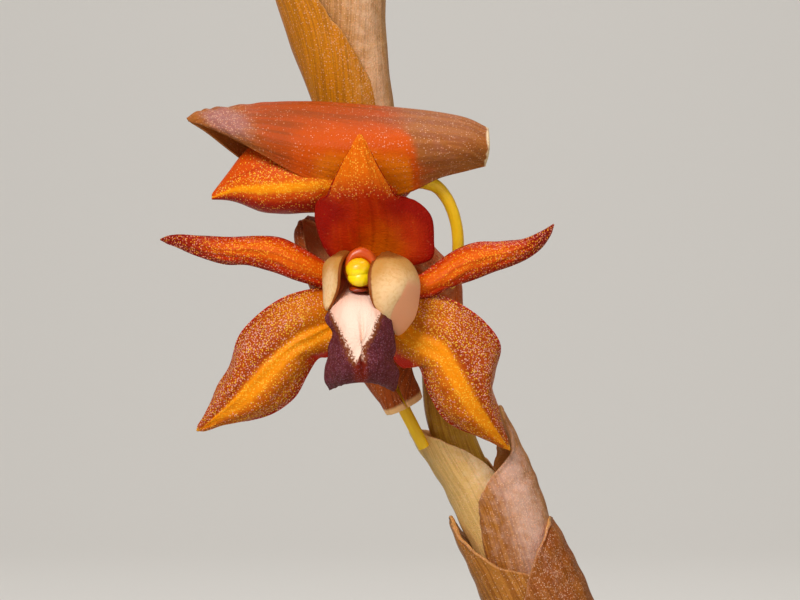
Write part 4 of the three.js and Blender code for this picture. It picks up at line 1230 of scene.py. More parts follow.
@dataclass(frozen=True)
class Stalk(Piece):
    """A round stem or stalk along a line of knots, ribbed lengthwise and pebbled."""

    knots: Knots
    # Knots before those, with x, y and z in place of column, row and nearness.
    measured: Knots = ()
    rings: int = 110
    sides: int = 24
    warm: tuple[float, ...] = (0.3, 0.3)
    bloom_and_sheen: tuple[float, ...] = (0.3, 0.3)

    def form(self) -> Form:
        """Draws the stalk.

        Returns:
            A closed skin, first through the measured knots, then through the traced ones.
        """
        way = Way.traced(self.knots)
        if self.measured:
            way = Way(np.concatenate([np.array(self.measured), way.knots]))
        t = np.linspace(0, 1, self.rings)[:, None]
        angle = round_angles(self.sides)
        pebbles = 0.012 * np.sin(61 * t + 2 * np.sin(3 * angle)) * np.sin(5 * angle + 9 * t)
        swell = 1 + 0.02 * np.cos(7 * angle + 1.5 * t) + pebbles
        points, lay = way.rings(self.rings, self.sides, swell)
        lit = np.sin(angle)
        values = {
            "warm": smooth(self.warm, t[:, 0])[:, None],
            # Bloom shows only toward the viewer, as painted sheen; gold paints light on that side and dark
            # paints shade on the far side.
            "bloom_and_sheen": smooth(self.bloom_and_sheen, t[:, 0])[:, None] * soft_step(-0.4, 0.8, lit),
            "gold": soft_step(0.0, 0.9, lit),
            "dark": soft_step(0.1, -0.9, lit),
            "glint": 0.5,
            "face": 1.0,
            "lay": lay,
        }
        return loft(points, values)


@dataclass(frozen=True)
class Bud(Piece):
    """The closed bud: blunt at its stalk, pointed at the far end, one sepal's edge lapped over the next."""

    name: str = "flower_bud_closed"
    node: str = "flower_bud"
    # Column, row, and half the depth and height in millimetres.
    rings: Knots = (
        (414, 181, 0.7, 0.8), (404, 178, 2.4, 2.2), (386, 174, 3.5, 3.6), (360, 171, 3.9, 4.3),
        (332, 171, 3.9, 4.4), (305, 172, 3.8, 4.4), (280, 174, 3.4, 4.3), (260, 177, 2.8, 3.7),
        (242, 181, 2.0, 2.5), (228, 187.5, 1.2, 1.4), (212, 197, 0.3, 0.3),
    )
    near: float = -2.4
    count: int = 110
    sides: int = 84

    def form(self) -> Form:
        """Draws the bud.

        Returns:
            A closed skin with three blunt keels.
        """
        t = np.linspace(0, 1, self.count)
        column, row, deep, high = smooth(self.rings, t).T[..., None]
        middle = traced(np.stack([column, row, 0 * row + self.near], -1))
        angle = round_angles(self.sides)
        t = t[:, None]
        up = np.sin(angle)
        # The lap's edge runs along the upper part of the side that faces the viewer.
        lap = 2.95 - 0.9 * soft_step(0.6, 0.1, t)
        turn = (angle - lap + math.pi) % (2 * math.pi) - math.pi
        step = soft_step(-0.03, 0.03, turn) * soft_step(1.2, 0.2, turn)
        dimples = 0.006 * np.sin(43 * t + 4 * angle) * np.sin(9 * angle - 11 * t)
        ridge = bump_at(-0.34, 0.1, up) * soft_step(0.3, 0.7, t)
        keel = 1 + 0.06 * np.cos(3 * angle + math.pi / 2)
        swell = keel * (1 + 0.04 * step + 0.03 * ridge + dimples)
        points = middle + np.stack([0 * swell, deep * swell * np.cos(angle), high * swell * up], -1)
        values = {
            # The gold band along the keel is a painted highlight and the dark underside is painted shade;
            # the dark line along the lap is the seam.
            "gold": bump_at(-0.34, 0.11, up) * soft_step(0.25, 0.6, t) + 0.3 * bump_at(-0.1, 0.4, up),
            "dark": soft_step(-0.45, -0.8, up) + 1.2 * bump_at(0, 0.035, turn) * soft_step(0.4, 0.6, t),
            "glint": 0.35 + 0.65 * bump_at(-0.1, 0.5, up),
            "face": 1.0,
        }
        return loft(points, values)


@dataclass(frozen=True)
class Rounded:
    """A rounded body through traced rings, with its gold and dark tints at the underside and at the top."""

    rings: Rings
    gold: tuple[float, float]
    dark: tuple[float, float]
    count: int = 40
    sides: int = 48

    def form(self) -> Form:
        """Draws the body.

        Returns:
            A closed skin, faintly uneven.
        """
        t = np.linspace(0, 1, self.count)
        column, row, near, wide, high = smooth(self.rings, t).T[..., None]
        middle = traced(np.stack([column, row, near], -1))
        angle = round_angles(self.sides)
        t = t[:, None]
        swell = 1 + 0.012 * np.sin(9 * angle + 5 * t) * np.sin(7 * t)
        offset = np.stack([wide * swell * np.cos(angle), 0 * swell, high * swell * np.sin(angle)], -1)
        up = soft_step(-0.8, 0.8, np.sin(angle))
        tints = {"gold": self.gold, "dark": self.dark}
        return loft(middle + offset, {key: low + (top - low) * up for key, (low, top) in tints.items()})


@dataclass(frozen=True)
class Moulded(Piece):
    """A waxy piece of the column that is made of rounded bodies."""

    bodies: tuple[Rounded, ...]

    def form(self) -> Form:
        """Draws the piece."""
        return Form.joined([body.form() for body in self.bodies])


@dataclass(frozen=True)
class Leaf(Piece):
    """One pleated leaf: a channelled stalk that widens into a blade and arches away from its bulb."""

    bulb: int
    heading: float
    length: float
    width: float
    rise: float
    fall: float
    roll: float
    rows: int = 90
    columns: int = 44
    steps: int = 40
    folds: int = 7
    widths: tuple[float, ...] = (0.09, 0.12, 0.28, 0.62, 0.88, 1, 0.98, 0.84, 0.56, 0.22, 0.02)

    def line(self, out: np.ndarray) -> np.ndarray:
        """Draws the line of the midrib, which bends from the slope at its foot to that at its tip.

        Args:
            out: the direction that the leaf heads for, level.

        Returns:
            Points from foot to tip.
        """
        foot = np.array(BULBS[self.bulb - 1].top, float) + 1.7 * out + 0.6 * UP
        share = (np.arange(self.steps) + 0.5) / self.steps
        slope = np.radians(self.rise + (self.fall - self.rise) * share**1.6)[:, None]
        step = out * np.cos(slope) + UP * np.sin(slope)
        return np.concatenate([foot[None], foot + np.cumsum(step, 0) * self.length / self.steps])

    def form(self) -> Form:
        """Draws the leaf.

        Returns:
            A closed sheet, folded along its nerves and rolled a little to one side.
        """
        heading = math.radians(self.heading)
        out = np.array([math.cos(heading), math.sin(heading), 0.0])
        line = self.line(out)
        t = np.linspace(0, 1, self.rows)
        along = direction(line, t)
        level = np.array([-out[1], out[0], 0.0])
        turn = np.radians(self.roll * t * 3)[:, None]
        side = level * np.cos(turn) + np.cross(along, level) * np.sin(turn)
        up = np.cross(along, side)[:, None]
        half = self.width / 2 * smooth(self.widths, t)[:, None]
        middle = smooth(line, t)[:, None]
        t, s = np.meshgrid(t, np.linspace(-1, 1, self.columns), indexing="ij")
        rise = 0.32 * half * abs(s) ** 1.3 + 0.05 * half * np.sin(9 * t + 2 * s) * s * s
        grid = middle + side[:, None] * (half * s)[..., None] + up * rise[..., None]
        # Strong nerves with finer ones between them; each is a fold of the blade.
        nerves = np.cos(self.folds * math.pi * s / 2) ** 8
        midrib = bump_at(0, 0.035, s)
        pleats = 0.28 * np.cos(self.folds * math.pi * s) * soft_step(1, 0.85, abs(s)) - 0.5 * midrib
        ripple = 0.12 * np.sin(33 * t + 4 * s) * abs(s)
        values = {
            "nerve": np.maximum(0.5 * nerves, midrib),
            "dry": soft_step(0.975, 1.0, t + 0.012 * np.sin(40 * s)),
            "lay": np.stack([t * self.length, s * half, 0 * s], -1),
        }
        return sheet(grid, LEAF_THICKNESS, values, up, (pleats + ripple) * soft_step(2, 8, half))


@dataclass(frozen=True)
class Bulb(Piece):
    """A pseudobulb: egg-shaped, drawn out at the top, with four blunt edges and lengthwise wrinkles."""

    number: int
    foot: Place
    top: Place
    width: float
    rings: int = 70
    sides: int = 84

    def form(self) -> Form:
        """Draws the pseudobulb.

        Returns:
            A closed skin with a ring-shaped scar at its foot and top.
        """
        turn = 0.7 * (self.number - 1)
        angle = round_angles(self.sides)
        t = np.linspace(0, 1, self.rings)
        share = smooth([0.35, 0.78, 0.98, 1, 0.93, 0.78, 0.58, 0.4, 0.3], t)[:, None]
        t = t[:, None]
        belly = np.sin(math.pi * t)
        foot, top = np.array(self.foot), np.array(self.top)
        middle = foot + (top - foot) * t
        middle[:, :1] += 1.2 * belly * math.cos(turn)
        wild = np.random.default_rng(self.number)
        shrink = 0 * t * angle
        for fold in (9, 13, 17, 23):
            slant = fold * angle + wild.uniform(0, 6) + wild.uniform(-1, 1) * 3 * t
            shrink += np.sin(slant) * wild.uniform(0.3, 1)
        ridge = 1 + 0.07 * np.cos(4 * angle) * belly
        wrinkle = 0.012 * shrink * np.maximum(belly, 0) ** 0.5
        scar = 0.03 * bump_at(0.06, 0.012, t) + 0.02 * bump_at(0.95, 0.012, t)
        radius = self.width / 2 * share * (ridge + wrinkle + scar)
        outward = np.stack([np.cos(angle + turn), np.sin(angle + turn), 0 * angle], -1)
        length = np.linalg.norm(top - foot)
        lay = np.stack([t * length + 0 * angle, angle * self.width / 2 + 0 * t, 0 * radius], -1)
        values = {"warm": soft_step(0.12, 0.0, t) + 0.5 * soft_step(0.93, 1, t), "lay": lay}
        return loft(middle[:, None] + radius[..., None] * outward, values)


@dataclass(frozen=True)
class Husk(Piece):
    """The dry, tattered sheath round a bulb's foot; height is a share of the bulb, turn the tip's angle."""

    bulb: Bulb
    height: float
    turn: float
    rows: int = 60
    columns: int = 100

    def form(self) -> Form:
        """Draws the husk.

        Returns:
            A closed sheet with fibres.
        """
        foot, top = np.array(self.bulb.foot), np.array(self.bulb.top)
        shares = self.height * np.array([0.02, 0.14, 0.3, 0.46, 0.6])[:, None]
        radii = self.bulb.width / 2 * np.array([0.66, 1, 1.12, 1.14, 1.06]) + 1.4
        way = Way(np.column_stack([foot + (top - foot) * shares, radii]))
        t = np.linspace(0, 1, self.rows)
        tatter = tatters(self.bulb.number, 7, soft_step(0.15, 0.6, t))
        gape = smooth([150, 148, 120, 70, 6], t)
        wrap = way.wrap(self.turn - gape + tatter[0], self.turn + gape + tatter[1], self.columns)
        fibres = 0.09 * np.sin(23 * wrap.angle) + 0.07 * np.sin(31 * wrap.angle + 3 * t[:, None])
        grid = wrap.centre + wrap.radius[..., None] * wrap.outward
        return sheet(grid, SKIN, {"lay": wrap.lay}, wrap.outward, fibres)


@dataclass(frozen=True)
class Rhizome(Piece):
    """The creeping stem between the bulbs' feet, ringed with scars, with roots over the medium."""

    name: str = "rhizome_and_roots"
    node: str = "rhizome"
    stems: tuple[Knots, ...] = (
        (
            (24, -9, 70.6, 2.4), (15, -5, 71.4, 3.4), (8, 0, 70.6, 2.6), (2, 4, 71.2, 3.3),
            (-5, 8, 70.4, 2.5), (-11, 10, 70.8, 3.2), (-17, 14, 70, 2.5), (-22, 17, 69.8, 3),
            (-29, 20, 69, 1.8),
        ),
        ((2, 4, 70.8, 2.4), (7, 12, 70.6, 2.4), (13, 19, 71, 3.1), (17, 24, 70, 1.8)),
    )
    stem_rings: tuple[int, int] = (110, 50)
    # Each root by the places of four knots over the medium; the first four are the thick ones.
    roots: tuple[tuple[tuple[int, int], ...], ...] = (
        ((15, -5), (22, -18), (19, -30), (24, -36)),
        ((8, 0), (-2, -10), (-8, -24), (-5, -35)),
        ((-17, 14), (-22, 26), (-18, 34), (-22, 38)),
        ((17, 22), (27, 24), (32, 14), (37, 12)),
        ((-22, 17), (-31, 8), (-36, -4), (-37, -12)),
        ((-5, 8), (-14, -2), (-20, -14), (-29, -22)),
        ((24, -9), (31, -12), (34, -20), (33, -26)),
        ((2, 4), (4, -12), (6, -26), (8, -38)),
    )
    root_heights: tuple[float, ...] = (70.5, 70.8, 70.6, 68.2)
    thick: tuple[float, ...] = (1.1, 1.0, 0.95, 0.8)
    thin: tuple[float, ...] = (0.8, 0.75, 0.7, 0.55)

    def strand(self, k: int, knots: Any, rings: int, sides: int, scars: float, warm: float) -> Form:
        """Draws a stem or root.

        Args:
            k: its number, which turns its ripples.
            knots: its knots of x, y, z and radius.
            rings: rings along it.
            sides: points in each ring.
            scars: how deep its ring-shaped scars are, as a share of the radius.
            warm: how pale it is.

        Returns:
            The closed form.
        """
        way = Way(np.array(knots, float))
        t = np.linspace(0, 1, rings)[:, None]
        angle = round_angles(sides)
        ringed = scars * ((t * way.length() / 3.2) % 1 - 0.5)
        swell = 1 + ringed + 0.04 * np.sin(3 * angle + 7 * t + k) + 0.05 * np.sin(23 * t + 2 * angle)
        return loft(way.rings(rings, sides, swell)[0], {"warm": warm})

    def form(self) -> Form:
        """Draws the stems and the roots.

        Returns:
            One form of separate closed skins.
        """
        strands = []
        for k, (knots, rings) in enumerate(zip(self.stems, self.stem_rings)):
            strands.append(self.strand(k, knots, rings, 28, 0.06, 0.15))
        for k, root in enumerate(self.roots):
            radii = self.thick if k < 4 else self.thin
            heights = np.array(self.root_heights) + 0.3 * (k % 2)
            knots = np.column_stack([root, heights, radii])
            strands.append(self.strand(k + len(self.stems), knots, 50, 14, 0.02, 0.9))
        return Form.joined(strands)


@dataclass(frozen=True)
class Medium(Piece):
    """The growing medium: a plug of fine bark under a few hundred broken bark chips."""

    name: str = "bark_chips"
    node: str = "growing_medium"
    top: float = 69.0
    foot: float = 8.3
    chips: int = 430
    reach: float = 37.5
    turn: float = 6.28

    def chip(self, wild: np.random.Generator) -> Form:
        """Draws one chip: a flat, broken block of bark with blunt edges.

        Args:
            wild: the source of its random size, place and tone.

        Returns:
            The closed form.
        """
        size = wild.uniform((2.2, 1.6, 0.7), (5.2, 3.2, 1.5))
        t = np.linspace(-1, 1, 7)[:, None]
        angle = round_angles(12)
        square = (abs(np.cos(angle)) ** 4 + abs(np.sin(angle)) ** 4) ** -0.25
        belt = (1 - abs(t) ** 5) ** 0.4 + 0.12
        rough = 1 + 0.09 * np.sin(3 * angle + wild.uniform(0, 6))
        reach = belt * square * (rough + 0.05 * np.sin(7 * angle + 3 * t + wild.uniform(0, 6)))
        x = t * (1 + 0.12 * np.sin(2 * angle + wild.uniform(0, 6)))
        points = np.stack([x, reach * np.cos(angle), reach * np.sin(angle)], -1) * size
        points[..., 2] += 0.12 * np.sin(points[..., 0] * 1.9 + wild.uniform(0, 6))
        yaw, pitch, tilt = wild.uniform((0, -0.45, -0.45), (self.turn, 0.45, 0.45))
        turns = np.array(Euler((tilt, pitch, yaw)).to_matrix())
        out = self.reach * math.sqrt(wild.uniform(0, 1))
        way = wild.uniform(0, self.turn)
        height = self.top - 1.2 + wild.uniform(0, 2.3) * (1 - 0.25 * (out / self.reach) ** 4)
        place = np.array([out * math.cos(way), out * math.sin(way), height])
        return loft(points @ turns.T + place, {"warm": wild.uniform(0, 1)})

    def form(self) -> Form:
        """Draws the plug and its chips.

        Returns:
            One form of separate closed skins.
        """
        wild = np.random.default_rng(7)
        top = self.top
        radii = (27.5, 38.6, 36.5, 30, 20, 10, 3)
        heights = (self.foot, top - 3, top - 1.5, top - 0.6, top, top, top + 0.2)
        radius, height = smooth(np.column_stack([radii, heights]), np.linspace(0, 1, 56)).T[..., None]
        angle = round_angles(96)
        lumps = 0.5 * np.sin(11 * angle + 0.3 * radius) * np.sin(0.9 * radius) * soft_step(60, 66, height)
        plug = np.stack([radius * np.cos(angle), radius * np.sin(angle), height + lumps], -1)
        return Form.joined([loft(plug, {"warm": 0.1})] + [self.chip(wild) for _ in range(self.chips)])


@dataclass(frozen=True)
class Pot(Piece):
    """The clay pot: turned, with a banded rim and four drain holes round the middle of its floor."""

    name: str = "clay_pot"
    node: str = "pot"
    height: float = 78.0
    rim: float = 46.0
    foot: float = 32.0
    wall: float = 4.5
    floor: float = 7.0
    band_height: float = 15.0
    band_step: float = 2.6
    drain: float = 4.0
    drains: int = 4
    drain_circle: float = 17.0
    sides: int = 120

    def profile(self) -> np.ndarray:
        """Draws the outline of half the section, from the middle below to the middle inside.

        Returns:
            Radii and heights, with rounded edges and points at most about 1.6 mm apart.
        """
        step_at = self.height - self.band_height
        side = self.foot + (self.rim - self.band_step - self.foot) * step_at / self.height
        corners = [
            (0.5, 0.0, 0.0),
            (self.foot, 0.0, 1.2),
            (side, step_at, 0.8),
            (side + self.band_step, step_at, 1.0),
            (self.rim, self.height, 1.4),
            (self.rim - self.wall, self.height, 1.4),
            (self.foot - self.wall, self.floor, 2.0),
            (0.5, self.floor, 0.0),
        ]
        line = [np.array(corners[0][:2])]
        u = np.linspace(0, 1, 7)[:, None]
        for before, (x, z, rounding), after in zip(corners, corners[1:-1], corners[2:]):
            here = np.array([x, z])
            start, end = (here + unit(np.array(near[:2]) - here) * rounding for near in (before, after))
            line.extend((1 - u) ** 2 * start + 2 * u * (1 - u) * here + u**2 * end)
        line.append(np.array(corners[-1][:2]))
        dense = [np.array(line[:1])]
        for a, b in zip(line[:-1], line[1:]):
            parts = max(1, int(np.linalg.norm(b - a) / 1.6))
            dense.append(a + (b - a) * np.arange(1, parts + 1)[:, None] / parts)
        return np.concatenate(dense)

    def form(self) -> Form:
        """Draws the pot.

        Returns:
            A closed skin with faint throwing marks and its drain holes cut through.
        """
        radius, height = self.profile().T[..., None]
        angle = round_angles(self.sides)
        marks = 0.12 * np.sin(height * 1.7) * soft_step(2, 6, height)
        marks = marks + 0.08 * np.sin(3 * angle + 0.05 * height)
        radius = radius + marks * soft_step(10, 25, radius)
        form = loft(np.stack([radius * np.cos(angle), radius * np.sin(angle), height + 0 * radius], -1), {})
        turn = round_angles(40)
        for k in range(self.drains):
            at = 2 * math.pi * (k + 0.5) / self.drains
            x = self.drain_circle * math.cos(at) + self.drain * np.cos(turn)
            y = self.drain_circle * math.sin(at) + self.drain * np.sin(turn)
            z = np.array([[-1.0], [self.floor + 1]])
            form = cut(form, loft(np.stack(np.broadcast_arrays(x, y, z), -1), {}))
        x, y, low = form.points.T
        soaked = low + 6 * np.sin(3 * np.arctan2(y, x) + 1) + 4 * np.sin(low * 0.3)
        form.values["warm"] = soft_step(34, 6, soaked)
        chalky = soft_step(52, 20, soaked) + soft_step(74, 78, low) + (np.hypot(x, y) < 20)
        form.values["bloom_and_sheen"] = np.clip(chalky, 0, 1)
        return form


def cut(form: Form, tool: Form) -> Form:
    """Cuts one closed form out of another.

    Args:
        form: the form that is cut.
        tool: the form that is taken away.

    Returns:
        What is left, without per-point values.
    """
    body, cutter = form.mesh("rough", 1), tool.mesh("rough", 1)
    modifier = body.modifiers.new("cut", "BOOLEAN")
    modifier.object = cutter
    modifier.operation = "DIFFERENCE"
    modifier.solver = "EXACT"
    done = body.evaluated_get(bpy.context.evaluated_depsgraph_get()).to_mesh()
    points = np.array([tuple(v.co) for v in done.vertices])
    faces = [tuple(face.vertices) for face in done.polygons]
    for piece in (body, cutter):
        bpy.data.objects.remove(piece)
    return Form(points, faces)


@dataclass(frozen=True)
class Studio:
    """The pale floor and backdrop, the soft lights and the camera; all in metres."""

    eye: Place = (-0.0245, -0.353, 0.224)
    lens: float = 150.0
    subject: Place = (-0.028, -0.02, 0.225)
    width: float = 12.0
    front: float = -6.0
    back: float = 2.6
    bend: float = 1.4
    tall: float = 6.0

    def backdrop(self) -> None:
        """Builds one sheet that lies flat under the pot and bends up behind it."""
        turn = np.linspace(0, math.pi / 2, 24)
        y = [self.front, *(self.back + self.bend * np.sin(turn)), self.back + self.bend]
        z = [0.0, *(self.bend * (1 - np.cos(turn))), self.tall]
        points = np.array([(x, a, b) for a, b in zip(y, z) for x in (-self.width / 2, self.width / 2)])
        faces = [(2 * i, 2 * i + 1, 2 * i + 3, 2 * i + 2) for i in range(len(y) - 1)]
        sweep = Form(points, faces).mesh("backdrop", 1)
        sweep.data.polygons.foreach_set("use_smooth", [True] * len(faces))
        sweep.data.materials.append(Finish("matt studio paper", "#e2ded8", roughness=0.9).material())

    def hang(self, name: str, thing: Any, place: Place) -> bpy.types.Object:
        """Puts a lamp or camera into the scene at a place."""
        holder = bpy.data.objects.new(name, thing)
        holder.location = place
        bpy.context.scene.collection.objects.link(holder)
        return holder

    def light(self, name: str, place: Place, power: float, size: float, at: Place | None = None) -> None:
        """Hangs one soft square light.

        Args:
            name: the light's name.
            place: where it hangs.
            power: its power in watts.
            size: the length of its side.
            at: the place that it looks at; the open flower unless another is given.
        """
        lamp = bpy.data.lights.new(name, "AREA")
        lamp.energy = power
        lamp.size = size
        holder = self.hang(name, lamp, place)
        aim = Vector(at or self.subject) - holder.location
        holder.rotation_euler = aim.to_track_quat("-Z", "Y").to_euler()

    def build(self) -> None:
        """Sets up backdrop, world, lights and camera."""
        self.backdrop()
        world = bpy.data.worlds.new("studio air")
        world.use_nodes = True
        air = world.node_tree.nodes["Background"]
        air.inputs["Color"].default_value = linear("#f3f1ee")
        air.inputs["Strength"].default_value = 0.26
        self.light("key light", (-0.25, -0.55, 0.62), 4.6, 0.26)
        self.light("fill light", (0.5, -0.5, 0.3), 1.0, 0.5)
        self.light("top light", (0.05, 0.15, 0.85), 2.4, 0.5)
        self.light("backdrop light", (0.0, 1.2, 2.2), 45.0, 1.5, (0.0, 4.0, 0.6))
        camera = bpy.data.cameras.new("studio camera")
        camera.lens = self.lens
        holder = self.hang("studio camera", camera, self.eye)
        holder.rotation_euler = (math.pi / 2, 0.0, 0.0)
        scene = bpy.context.scene
        scene.world = world
        scene.camera = holder
        scene.view_settings.view_transform = "Standard"
        log.info("studio: backdrop, 4 lights, camera")


# Foot and top in millimetres, and width, of each bulb.
BULBS = tuple(
    Bulb(f"bulb_{number}", f"pseudobulb_{number}", number, *row)
    for number, row in enumerate(
        (
            ((15, -5, 73), (18, -2, 119), 17),
            ((2, 4, 73), (1, 7, 116), 16),
            ((-11, 10, 72), (-16, 13, 111), 15),
            ((-22, 17, 71), (-30, 22, 106), 14),
            ((13, 19, 72), (19, 27, 110), 15),
        ),
        1,
    )
)
HUSKS = (
    Husk("bulb_husk_1", "bulb_sheath_1", BULBS[0], height=0.8, turn=200),
    Husk("bulb_husk_2", "bulb_sheath_2", BULBS[1], height=0.7, turn=120),
)
# Bulb, heading, length, width, slopes at foot and tip, and roll of each leaf, in millimetres and degrees.
LEAVES = tuple(
    Leaf(f"leaf_blade_{number}", f"leaf_{number}", *row)
    for number, row in enumerate(
        (
            (1, -35, 138, 27, 74, -2, 6),
            (1, 42, 146, 28, 80, 22, -8),
            (2, 250, 116, 25, 60, -48, 5),
            (2, 95, 112, 26, 62, -25, 4),
            (3, 205, 110, 24, 58, -35, -6),
            (3, 130, 104, 23, 60, -30, 5),
            (4, 165, 92, 21, 52, -40, 3),
            (5, 70, 128, 26, 72, -8, -5),
            (5, 0, 118, 24, 56, -30, 7),
        ),
        1,
    )
)
# A station or knot below holds column and row in the photograph and millimetres toward the viewer, and some
# a radius or a half width and half height in millimetres. The margins front and back are in degrees.
DORSAL_SEPAL = DorsalSepal(
    "dorsal_sepal_blade", "dorsal_sepal",
    stations=(
        ((354, 282, -1.4), (364, 283, -1.6), (374, 282, -1.4)),
        ((341, 268, -0.9), (367, 268, -0.9), (405, 268, -0.9)),
        ((328, 254, -0.4), (370, 250, 0.2), (431, 259, -0.6)),
        ((320, 238, 0.2), (372, 235, 1.4), (434, 240, -0.2)),
        ((315, 219, 1), (371, 218, 2.8), (431, 216, 0.6)),
        ((317, 202, 2), (369, 202, 4.4), (414, 200, 1.6)),
        ((326, 196, 3.2), (365, 190, 5.6), (398, 197, 3)),
        ((331.5, 184, 4.6), (362, 175, 6.4), (389, 184, 4.6)),
        ((341, 165, 5.8), (360.5, 158, 6.8), (377.5, 165, 5.8)),
        ((350.5, 149, 6.4), (360, 145, 6.9), (369, 149, 6.4)),
        ((358.5, 135, 6.9), (360, 134, 7), (361.5, 135, 6.9)),
    ),
)
PETALS = (
    Petal(
        "petal_right_blade", "petal_right",
        stations=(
            ((385, 284, -1.3), (386, 288, -1.3), (387, 293, -1.3)),
            ((415, 277, -0.2), (417, 287, 0.6), (420, 300, -0.2)),
            ((434, 265, 0), (440, 279, 1.2), (449, 288, 0.2)),
            ((455, 250, -0.2), (461, 266, 1.2), (467, 282, 0)),
            ((478, 242.5, -0.6), (483, 259, 0.8), (490, 273, -0.4)),
            ((500, 242, -1.2), (505, 254, 0), (510, 266, -1)),
            ((522, 239.5, -2), (526, 248, -1.2), (530, 257, -2)),
            ((540, 232, -3), (542, 237, -2.8), (545, 243, -3.2)),
            ((553, 224, -4), (553.4, 224.6, -4), (553.8, 225.2, -4)),
        ),
    ),
    Petal(
        "petal_left_blade", "petal_left",
        stations=(
            ((345, 280, -1.3), (344, 285, -1.3), (344, 290, -1.3)),
            ((325, 262, -0.3), (325, 275, 0.4), (325, 288, -0.3)),
            ((300, 247, 0.2), (298, 264, 1.2), (296, 280, 0.2)),
            ((280, 237.5, 0.2), (277, 254, 1.2), (272, 271.5, 0.1)),
            ((255, 236.5, 0), (252, 250, 1), (249, 265, 0)),
            ((225, 237.5, -0.4), (225, 250, 0.6), (226, 264, -0.4)),
            ((200, 236, -1), (200, 245.5, -0.2), (200, 257, -1)),
            ((177, 235, -2), (178, 240.5, -1.6), (180, 248, -2)),
            ((161, 239, -3), (161, 239.5, -3), (161.5, 240, -3)),
        ),
    ),
)
LATERAL_SEPALS = (
    LateralSepal(
        "lateral_sepal_left_blade", "lateral_sepal_left",
        stations=(
            ((352, 292, -1.3), (356, 300, -1.3), (360, 306, -1.3)),
            ((324, 288, -0.6), (333, 322, 0), (345, 345, -0.8)),
            ((295, 293, -0.4), (310, 333, 1), (329, 356, -1.2)),
            ((272, 304, -0.2), (290, 345, 1.2), (318, 359, -0.8)),
            ((251, 321, -0.4), (270, 362, 1), (307, 376, -0.4)),
            ((238, 339, -0.8), (253, 380, 0.6), (295, 397, -0.8)),
            ((230, 366, -1.4), (239, 396, 0), (275, 412, -1.2)),
            ((218, 386, -2), (226, 408, -1), (250, 420, -1.8)),
            ((209, 407, -2.6), (214, 418, -2), (228, 423, -2.4)),
            ((202, 421, -3), (205, 425, -2.8), (211, 428, -3)),
            ((197, 430, -3.4), (197.3, 430.3, -3.4), (197.6, 430.6, -3.4)),
        ),
        puff=0.7,
    ),
    LateralSepal(
        "lateral_sepal_right_blade", "lateral_sepal_right",
        stations=(
            ((376, 292, -1.3), (372, 300, -1.3), (368, 306, -1.3)),
            ((405, 290, -0.8), (398, 320, 0), (388, 345, -0.8)),
            ((432, 293, -0.6), (416, 335, 0.8), (394, 359, -1.4)),
            ((462, 305, -0.6), (440, 346, 1.1), (404, 368, -1.6)),
            ((485, 322, -0.9), (453, 362, 1), (418, 365, -0.8)),
            ((500, 345, -1.4), (466, 385, 0.6), (428, 391, -0.6)),
            ((495, 370, -2), (476, 402, -0.2), (441, 415, -1.2)),
            ((491, 386, -2.6), (485, 416, -1.2), (458, 428, -2)),
            ((497, 404, -3.2), (493, 428, -2.2), (476, 435, -2.8)),
            ((502, 428, -3.8), (500, 438, -3.2), (493, 442, -3.6)),
            ((510, 449, -4.4), (509.6, 449.3, -4.4), (509.2, 449.6, -4.4)),
        ),
        puff=0.7,
    ),
)
LIP_FLOOR = LipFloor(
    "lip_middle_lobe", "lip",
    stations=(
        ((352, 262, -1), (356, 263, -1.2), (362, 264, -1.3), (368, 263, -1.2), (372, 262, -1)),
        ((347, 275, 0), (354, 275, -0.3), (361, 275, -0.4), (368, 275, -0.3), (375, 275, 0)),
        ((343, 290, 3), (351, 290, 3.4), (360, 291, 3.4), (368, 293, 3.4), (379, 292, 2.8)),
        ((335, 303, 5.6), (346, 303, 6.6), (360, 303, 6.6), (371, 304, 6.6), (384, 309, 5.4)),
        ((326, 318, 6.2), (342, 318, 8), (361, 318, 8.2), (375, 320, 8), (391, 320, 6.2)),
        ((333, 333, 6.4), (345, 333, 8.6), (362, 334, 8.8), (374, 334, 8.6), (393, 334, 6.4)),
        ((329, 348, 6), (347, 348, 8.9), (362, 349, 8.6), (370, 349, 8.9), (395.5, 348, 6)),
        ((328, 360, 5.4), (345, 360, 8.6), (362, 361, 8.9), (376, 361, 8.6), (392.5, 359, 5.6)),
        ((325, 370, 4.6), (343, 371, 7.8), (362, 371, 8.4), (380, 371, 7.8), (398, 371, 4.8)),
        ((326, 382, 3.8), (343, 380, 6.6), (362, 378, 7.2), (380, 380, 6.6), (397, 384, 4)),
        ((330, 389.5, 3), (346, 383, 5.4), (362, 381.5, 6), (377, 383, 5.4), (393.5, 391, 3.2)),
    ),
)
